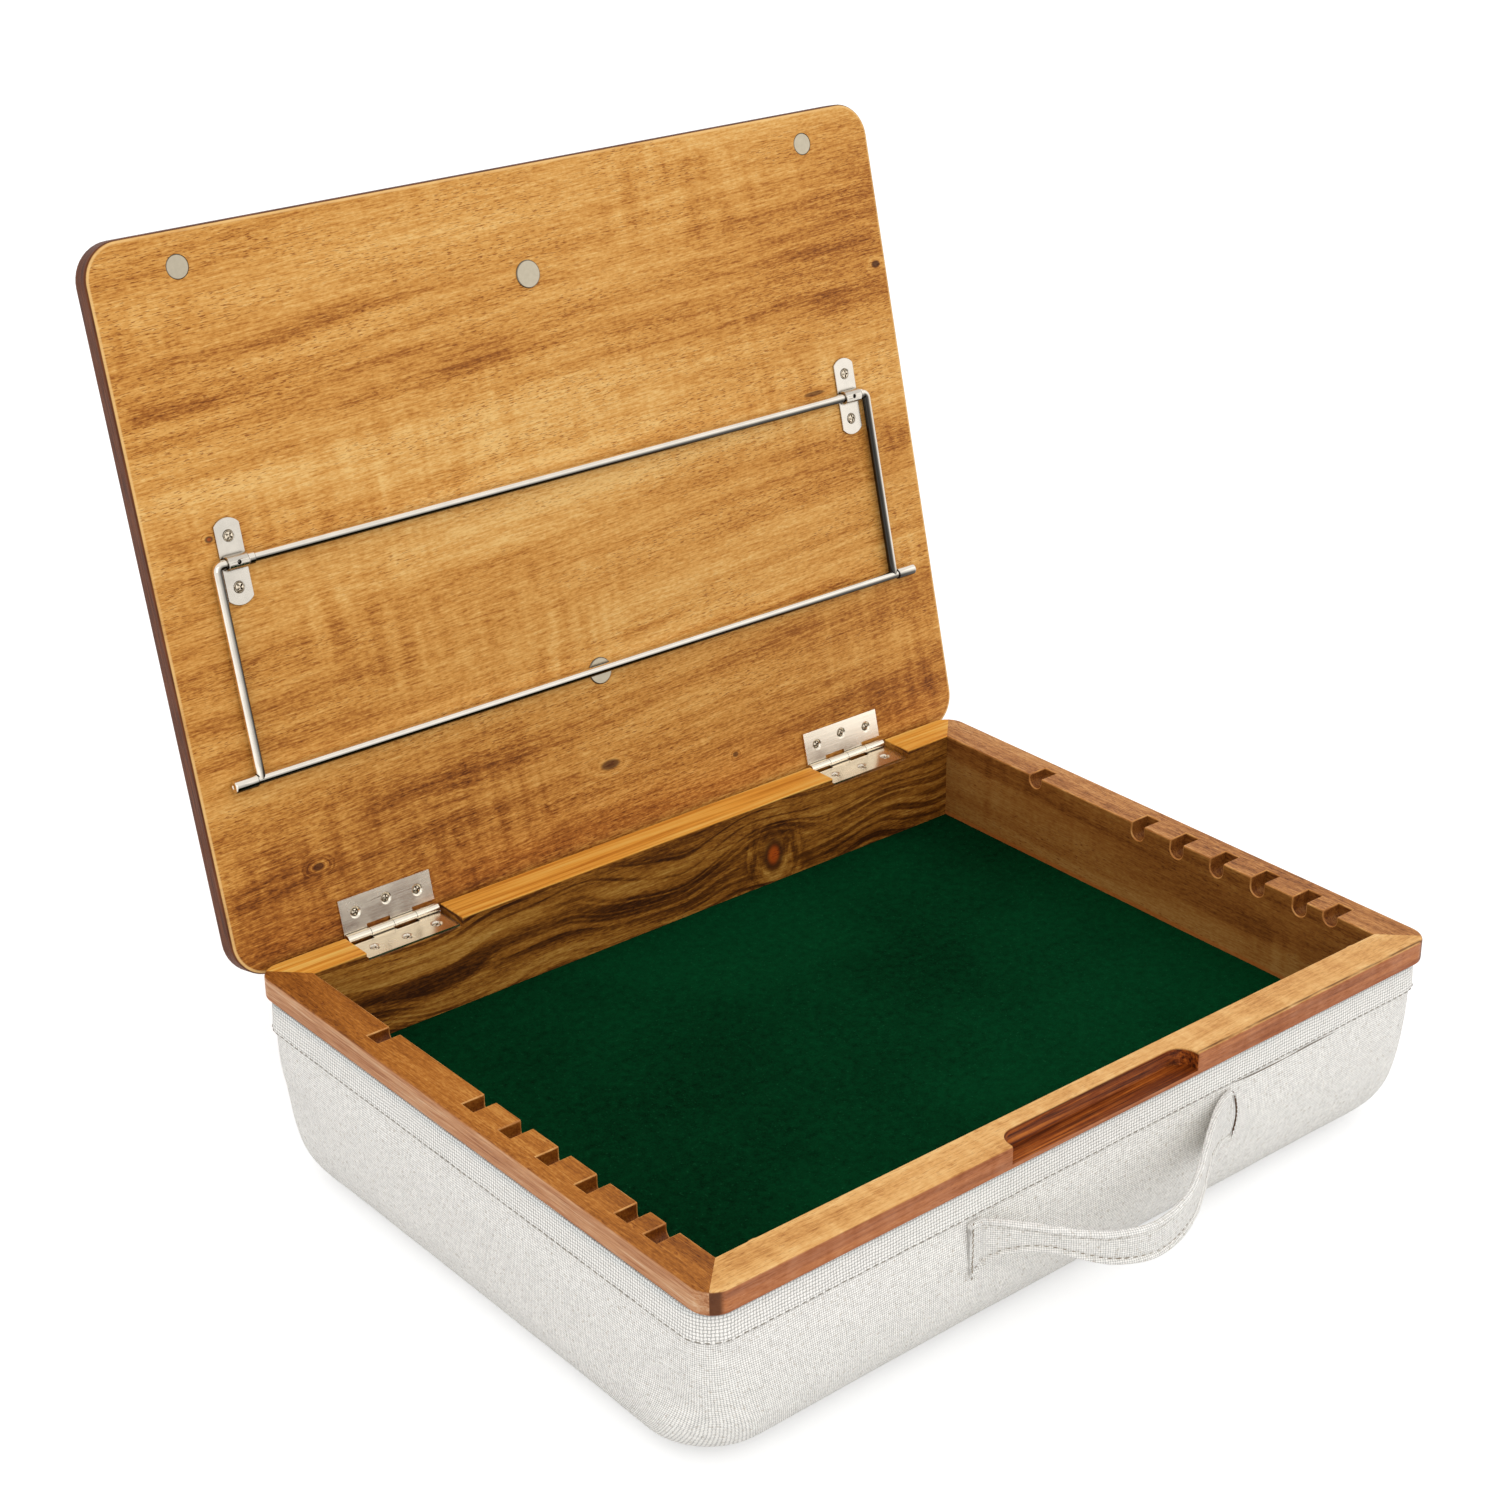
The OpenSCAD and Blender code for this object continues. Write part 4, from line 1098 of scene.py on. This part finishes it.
class LAPDESK_OT_strap(bpy.types.Operator):
    """Sweeps the folded carrying strap from one sewn end to the other"""
    bl_idname = "lapdesk.strap"
    bl_label = "Carrying strap"
    # Its front edge: the distance in from the edge and the height above the back, in millimetres
    rolled = [(0.0, 0.9), (0.06, 1.7), (0.3, 2.3), (0.8, 2.75), (1.4, 2.9), (2.0, 2.7), (2.45, 2.2),
              (2.7, 1.5), (3.0, 1.75), (3.7, 2.15)]
    # Its back: the share of its width from the foot, and the height in millimetres
    back = [(0.01, 0.45), (0.04, 0.2), (0.25, 0.15), (0.5, 0.15), (0.75, 0.15), (0.96, 0.2), (0.99, 0.45)]
    row_inset = 2.75 * MM

    def execute(self, context):
        s = context.scene.lap_desk_strap
        finish = context.scene.lap_desk_finish
        steps = 130
        xs = [s.span * (i / steps - 0.5) for i in range(steps + 1)]
        lengths = walked([(x, strap_out(x, s)) for x in xs])
        points, arounds = [], []
        for x in xs:
            middle, _, out, share = strap_at(x, s)
            drift = 0.35 * MM * noise.noise(Vector((x * 60, 5, 1))) * share
            section, full = self.section(x, s)
            arounds.append([step - section[0][0] for step in walked(section + section[:1])])
            for w, o in section:
                wrinkle = 0.22 * MM * noise.noise(Vector((x * 160, w * 160, 2))) if o > 1.5 * MM else 0.0
                end = min(1.0, max(0.0, (x - s.span / 2 + 9 * MM) / (9 * MM)))
                swell = 3.4 * MM * (1 - (w / (s.width / 2)) ** 2) * end
                points.append(middle + out * (o * full + drift + wrinkle) + Vector((swell, 0, w)))
        m = len(section)
        faces, uvs = woven(len(xs), m, lambda i, j: (lengths[i], arounds[i][j]))
        for cap, base in ((range(m)[::-1], 0), (range(m), steps * m)):
            faces.append(tuple(base + j for j in cap))
            uvs += [(0, arounds[-1][j]) for j in cap]
        canvas = linen("strap canvas", [0.93 * c for c in finish.canvas],
                       context.scene.lap_desk_cushion.thread * 0.95, gaps=0.36)
        piece = mesh_piece("strap_canvas", points, faces, canvas, uvs)
        smooth_subdivided(piece)
        hand_over(piece, "case", "cotton_canvas", "carry_strap")
        self.sew(s, finish)
        return {"FINISHED"}

    def section(self, x, s):
        """The strap's section at x, as (up, out), and how much thicker it is there."""
        top, foot, full = strap_edges(x, s)
        reach = self.rolled[-1][0] * MM
        front = [(top - d * MM, o * MM) for d, o in self.rolled]
        front += [(foot + reach + (top - foot - 2 * reach) * t, 2.2 * MM) for t in (0.75, 0.5, 0.25)]
        front += [(foot + d * MM, o * MM) for d, o in reversed(self.rolled)]
        return front + [(foot + (top - foot) * t, o * MM) for t, o in self.back], full

    def sew(self, s, finish):
        """Rows of stitches along both edges, the bar of stitches at one end and the seam at the other."""
        half, height, on_end = s.width / 2, strap_height(s), STRAP_FACE_Y - 2.2 * MM
        forward = Vector((0, -1, 0))
        rng = random.Random(finish.seed + 3)
        rows, seam = [], []
        for side in (-1, 1):
            x = -s.span / 2 + 4 * MM
            while x < s.span / 2 - 4 * MM:
                middle, run, out, _ = strap_at(x, s)
                top, foot, full = strap_edges(x, s)
                middle.z += top - self.row_inset if side > 0 else foot + self.row_inset
                rows.append((middle + out * 1.52 * MM * full, run, out, finish.stitch * 0.9))
                x += (finish.stitch + 0.8 * MM) * run.x
        for k in range(11):
            x = -s.span / 2 + 1.6 * MM + rng.uniform(-0.15, 0.15) * MM
            spot = Vector((x, on_end, height + (k / 10 - 0.5) * 2 * half * 0.94))
            rows.append((spot, Vector((0.25, 0, 1)), forward, 2.3 * MM))
        for k in range(12):
            t = (k + 0.5) / 12
            x = s.span / 2 - 0.7 * MM + 3.4 * MM * (1 - (2 * t - 1) ** 2)
            spot = Vector((x, on_end, height + (t - 0.5) * 2 * half * 0.96))
            run = Vector((13.6 * MM * (1 - 2 * t), 0, 2 * half))
            seam.append((spot, run, forward, 2.2 * MM * rng.uniform(0.8, 1.1)))
        thread = linen("strap thread", srgb(170, 156, 136), 0.5 * MM, 0.6)
        dark = linen("strap seam", srgb(112, 84, 58), 0.6 * MM, 0.8, 0.4)
        hand_over(stitches("strap_stitches", rows, thread, 0.24 * MM), "case", "cotton_canvas")
        hand_over(stitches("strap_seam", seam, dark, 0.38 * MM), "case", "cotton_canvas")


class LAPDESK_OT_lid(bpy.types.Operator):
    """Finishes the lid's panel: streaky acacia with painted shade on its edge"""
    bl_idname = "lapdesk.lid"
    bl_label = "Lid"
    # Each place is (x, distance forward of the lid's rear edge), as acacia takes it with y in its place
    knots = [(-0.0024, 0.0366, 5 * MM, 2.2 * MM, 0.8, 0), (0.1928, 0.2247, 2.4 * MM, 1.6 * MM, 0.9, 0),
             (-0.1714, 0.1787, 1.8 * MM, 1.3 * MM, 0.85, 0.6), (-0.154, 0.0363, 2.6 * MM, 1.6 * MM, 0.75, 0),
             (0.065, 0.0217, 1.6 * MM, 1.2 * MM, 0.7, 0), (0.1432, 0.1732, 6 * MM, 1.1 * MM, 0.7, 0)]
    streaks = [(-0.15, 0.262, 0.19, 0.236, 10 * MM, 0.10), (-0.05, 0.225, 0.17, 0.216, 9 * MM, 0.09),
               (-0.19, 0.235, -0.02, 0.228, 10 * MM, 0.12), (-0.12, 0.05, 0.12, 0.066, 12 * MM, 0.12),
               (-0.19, 0.03, -0.08, 0.042, 12 * MM, 0.15), (0.02, 0.095, 0.19, 0.075, 8 * MM, 0.10)]
    glows = [(-0.09, 0.19, 0.17, 0.08, 0.10), (-0.15, 0.0, 0.24, 0.12, -0.22),
             (0.16, -0.01, 0.22, 0.14, -0.10), (0.06, 0.25, 0.20, 0.10, 0.07), (0.02, 0.14, 0.14, 0.20, 0.07)]

    def execute(self, context):
        gold = tuple(context.scene.lap_desk_timber.gold)
        tones = [(0.16, srgb(108, 54, 12)), (0.33, srgb(164, 98, 34)), (0.49, gold),
                 (0.64, srgb(222, 164, 86)), (0.82, srgb(238, 192, 118))]
        rear = LID_HALF_D
        knots = [(x, rear - y, *rest) for x, y, *rest in self.knots]
        streaks = [(x0, rear - y0, x1, rear - y1, *rest) for x0, y0, x1, y1, *rest in self.streaks]
        glows = [(x, rear - y, *rest) for x, y, *rest in self.glows]
        panel = acacia("lid acacia", tones, SHUT, 2.3, math.radians(2.5), knots, streaks, glows, 0.58,
                       self.dark_edge, curl=1.3, fuzz=0.8)
        hand_over(softened("lid_panel", "lid_timber", panel), "lid", "lid_wood", "lid_panel")
        return {"FINISHED"}

    @staticmethod
    def dark_edge(colour, flat):
        """Darkens the panel's edge with painted shade, by the distance to its rounded outline, with a pale rim
        inside it.
        """
        x, y, _ = flat.parts()
        reach = outline_reach(x, y, LID_HALF_W, LID_HALF_D, LID_ROUND)
        rim = reach.remap(-1.9 * MM, -1.2 * MM) * flat.noise((40, 40, 900)).remap(0.3, 0.6, 0.35, 0.8)
        # Painted shade: the dark brown on the outermost edge stands for the shade on the panel's sides.
        edge_shade = flat.noise((60, 60, 900)).ramp((0.3, srgb(72, 32, 10)), (0.7, srgb(114, 60, 26)))
        return colour.mixed(rim, srgb(240, 196, 128)).mixed(reach.remap(-0.75 * MM, -0.35 * MM), edge_shade)


class LAPDESK_OT_hinges(bpy.types.Operator):
    """Finishes the two butt hinges and their screws in nickel"""
    bl_idname = "lapdesk.hinges"
    bl_label = "Hinges"

    def execute(self, context):
        leaf = nickel("hinge nickel", 1.16, 0.22, 0.26, (60, 1300, 1300), 1.2 * MM, tint=(1.0, 0.97, 0.91))
        screw = nickel("screw nickel", 1.1, 0.2, 0.1, crevice_shade_reach=0.9 * MM, tint=(1.0, 0.94, 0.84))
        for body in ("case", "lid"):
            for side in ("left", "right"):
                node = f"{side}_{body}_leaf"
                hand_over(softened(node, node + "_plate", leaf), body, "nickel_hardware", node)
        rng = random.Random(context.scene.lap_desk_finish.seed)
        for node, body, down, size, sunk, dome in (
                ("case_leaf_screws", "case", False, 1.8 * MM, 0.72 * MM, 0.42 * MM),
                ("lid_leaf_screws", "lid", True, 1.8 * MM, 0.72 * MM, 0.42 * MM),
                ("bracket_screws", "lid", True, 2.25 * MM, 0.1 * MM, 0.75 * MM)):
            heads = cross_heads(node + "_heads", screw_places(node, down), size, sunk, dome, down, screw, rng)
            hand_over(heads, body, "nickel_hardware", node)
        dress("hinge_pins", screw)
        dress("rail_keepers", screw)
        return {"FINISHED"}


class LAPDESK_OT_prop(bpy.types.Operator):
    """Makes the prop bail's rods, sleeves and collars, its brackets, and the magnets"""
    bl_idname = "lapdesk.prop"
    bl_label = "Prop bail"

    def execute(self, context):
        down_lid = OPEN.to_3x3() @ Vector((0, 1, 0))
        # The rods, sleeves and collars get a painted reflection, dark on their side facing down the open lid,
        # and painted shade in their crevices.
        bright = nickel("rod nickel", 1.12, 0.10, 0.05, (60, 900, 900), 1.5 * MM, down_lid)
        plate = nickel("bracket nickel", 0.84, 0.22, 0.08)
        face = nickel("magnet nickel", 0.60, 0.32, 0.10, 700, tint=(1.0, 0.95, 0.82))
        ring = nickel("magnet rim", 0.30, 0.35, 0.05, tint=(1.0, 0.92, 0.80))
        arm_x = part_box("bail_frame")[1].x - ROD_RADIUS
        low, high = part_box("bail_crossbar")
        middle = (low + high) / 2
        first, last = (Vector((x, middle.y, middle.z)) for x in (low.x + 0.5 * MM, high.x - 0.5 * MM))
        rod = swept_rod("bail_rod", self.bent_path(arm_x), ROD_RADIUS, bright)
        bar = swept_rod("bail_bar", [first.lerp(last, i / 30) for i in range(31)], ROD_RADIUS, bright)
        sleeves = self.sleeves(middle, low.x, high.x, arm_x, bright)
        collars = softened("bail_collars", "bail_stops", bright, 0.3 * MM, angle=50)
        for piece, node in ((rod, "bail_frame"), (bar, "bail_crossbar"), (sleeves, "bail_end_sleeves"),
                            (collars, "bail_collars")):
            hand_over(piece, "bail", "nickel_hardware", node)
        for node, suffix, finish, edge, worn in (
                ("left_prop_bracket", "_strap", plate, 0.2 * MM, None),
                ("right_prop_bracket", "_strap", plate, 0.2 * MM, None),
                ("corner_magnets", "_discs", face, 0.45 * MM, ring),
                ("bail_magnets", "_discs", face, 0.45 * MM, ring)):
            piece = softened(node, node + suffix, finish, edge, angle=50, worn=worn)
            hand_over(piece, "lid", "nickel_hardware", node)
        return {"FINISHED"}

    @staticmethod
    def bent_path(arm_x):
        """Up one arm, along the pivot bar and down the other arm, with a tight bend at each corner."""
        pivot = SHUT @ PIVOT
        inner = arm_x - ROD_BEND
        half = [(arm_x, pivot.y + ARM_REACH - (ARM_REACH - ROD_BEND) * i / 12) for i in range(12)]
        for i in range(9):
            a = math.radians(90 * i / 8)
            half.append((inner + ROD_BEND * math.cos(a), pivot.y + ROD_BEND - ROD_BEND * math.sin(a)))
        bar = [(-inner + 2 * inner * i / 40, pivot.y) for i in range(1, 40)]
        path = [(-x, y) for x, y in half] + bar + half[::-1]
        return [OPEN @ Vector((x, y, pivot.z)) for x, y in path]

    @staticmethod
    def sleeves(middle, low_x, high_x, arm_x, material):
        """Turned sleeves on the crossbar's ends: a rounded nose, a small hollow, and a weld by the arm."""
        size = (high_x - arm_x - ROD_RADIUS) / MM
        profile = [(0.9, 0.0), (0.85, 0.75), (0.55, 1.05), (0.25, 1.35), (0.05, 1.75), (0.06, 2.05),
                   (0.28, 2.38), (0.62, 2.55), (1.0, 2.6), (size * 0.5, 2.6), (size - 0.5, 2.6),
                   (size - 0.15, 2.52), (size, 2.35), (size + 0.1, 1.9)]
        points, faces = [], []
        sides = 32
        for inward, end in ((MM, low_x), (-MM, high_x)):
            faces += skin(len(profile), sides, len(points), capped=False)
            for along, radius in profile:
                ring = Vector((end + inward * along, middle.y, middle.z))
                points += [ring + Vector((0, math.cos(a), math.sin(a))) * radius * MM for a in circle(sides)]
        return mesh_piece("bail_sleeves", points, faces, material)


class LAPDESK_OT_stage(bpy.types.Operator):
    """Sets the pale floor, the white room and the soft studio lamps"""
    bl_idname = "lapdesk.stage"
    bl_label = "Stage"

    def execute(self, context):
        size = 6.0
        f = Finish("studio floor")
        seen = f.math("MAXIMUM", f.out("ShaderNodeLightPath", output="Is Camera Ray"),
                      f.out("ShaderNodeLightPath", output="Is Glossy Ray"))
        glow = f.out("ShaderNodeEmission", {"Color": (1, 1, 1), "Strength": seen * 0.45})
        matte = f.out("ShaderNodeBsdfDiffuse", {"Color": srgb(223, 223, 223)})
        both = f.out("ShaderNodeAddShader", {0: glow, 1: matte})
        f.feed(f.nodes["Material Output"].inputs["Surface"], both)
        corners = [(-size, -size, 0), (size, -size, 0), (size, size, 0), (-size, size, 0)]
        floor = mesh_piece("studio_floor", corners, [(0, 1, 2, 3)], f.material)
        floor.location.z = -0.0002
        world = bpy.data.worlds.new("Studio")
        context.scene.world = world
        world.use_nodes = True
        back = world.node_tree.nodes["Background"]
        back.inputs["Color"].default_value = (1, 1, 1, 1)
        back.inputs["Strength"].default_value = 1.0
        self.lamp(context, "Key", (-1.3, -1.6, 1.5), 6)
        self.lamp(context, "Fill", (1.5, -1.4, 0.8), 4)
        context.scene.view_settings.view_transform = "Standard"
        return {"FINISHED"}

    @staticmethod
    def lamp(context, name, place, watts, target=(0, 0, 0.1), size=1.6):
        data = bpy.data.lights.new(name, "AREA")
        data.shape = "SQUARE"
        data.size = size
        data.energy = watts
        lamp = bpy.data.objects.new(name, data)
        lamp.location = place
        lamp.rotation_euler = (Vector(target) - Vector(place)).to_track_quat("-Z", "Y").to_euler()
        context.scene.collection.objects.link(lamp)


class LAPDESK_PT_panel(bpy.types.Panel):
    """Lists the steps that dress the lap desk"""
    bl_label = "Lap Desk"
    bl_idname = "LAPDESK_PT_panel"
    bl_space_type = "VIEW_3D"
    bl_region_type = "UI"
    bl_category = "Lap Desk"

    def draw(self, context):
        column = self.layout.column(align=True)
        for step in STEPS:
            column.operator(step.bl_idname)
        for key in GROUPS:
            group = getattr(context.scene, key)
            box = self.layout.box()
            for name in group.__annotations__:
                box.prop(group, name)


STEPS = (LAPDESK_OT_camera, LAPDESK_OT_rails, LAPDESK_OT_lining, LAPDESK_OT_cushion, LAPDESK_OT_hem,
         LAPDESK_OT_strap, LAPDESK_OT_lid, LAPDESK_OT_hinges, LAPDESK_OT_prop, LAPDESK_OT_stage)
GROUPS = {"lap_desk_cushion": LapDeskCushion, "lap_desk_strap": LapDeskStrap,
          "lap_desk_timber": LapDeskTimber, "lap_desk_finish": LapDeskFinish}
CLASSES = (*GROUPS.values(), *STEPS, LAPDESK_PT_panel)


def register():
    for cls in CLASSES:
        bpy.utils.register_class(cls)
    for key, group in GROUPS.items():
        setattr(bpy.types.Scene, key, PointerProperty(type=group))


def unregister():
    for key in GROUPS:
        delattr(bpy.types.Scene, key)
    for cls in reversed(CLASSES):
        bpy.utils.unregister_class(cls)


def main():
    register()
    bpy.ops.lapdesk.camera()
    bpy.ops.lapdesk.rails()
    bpy.ops.lapdesk.lining()
    bpy.ops.lapdesk.cushion()
    bpy.ops.lapdesk.hem()
    bpy.ops.lapdesk.strap()
    bpy.ops.lapdesk.lid()
    bpy.ops.lapdesk.hinges()
    bpy.ops.lapdesk.prop()
    bpy.ops.lapdesk.stage()


if __name__ == "__main__":
    main()
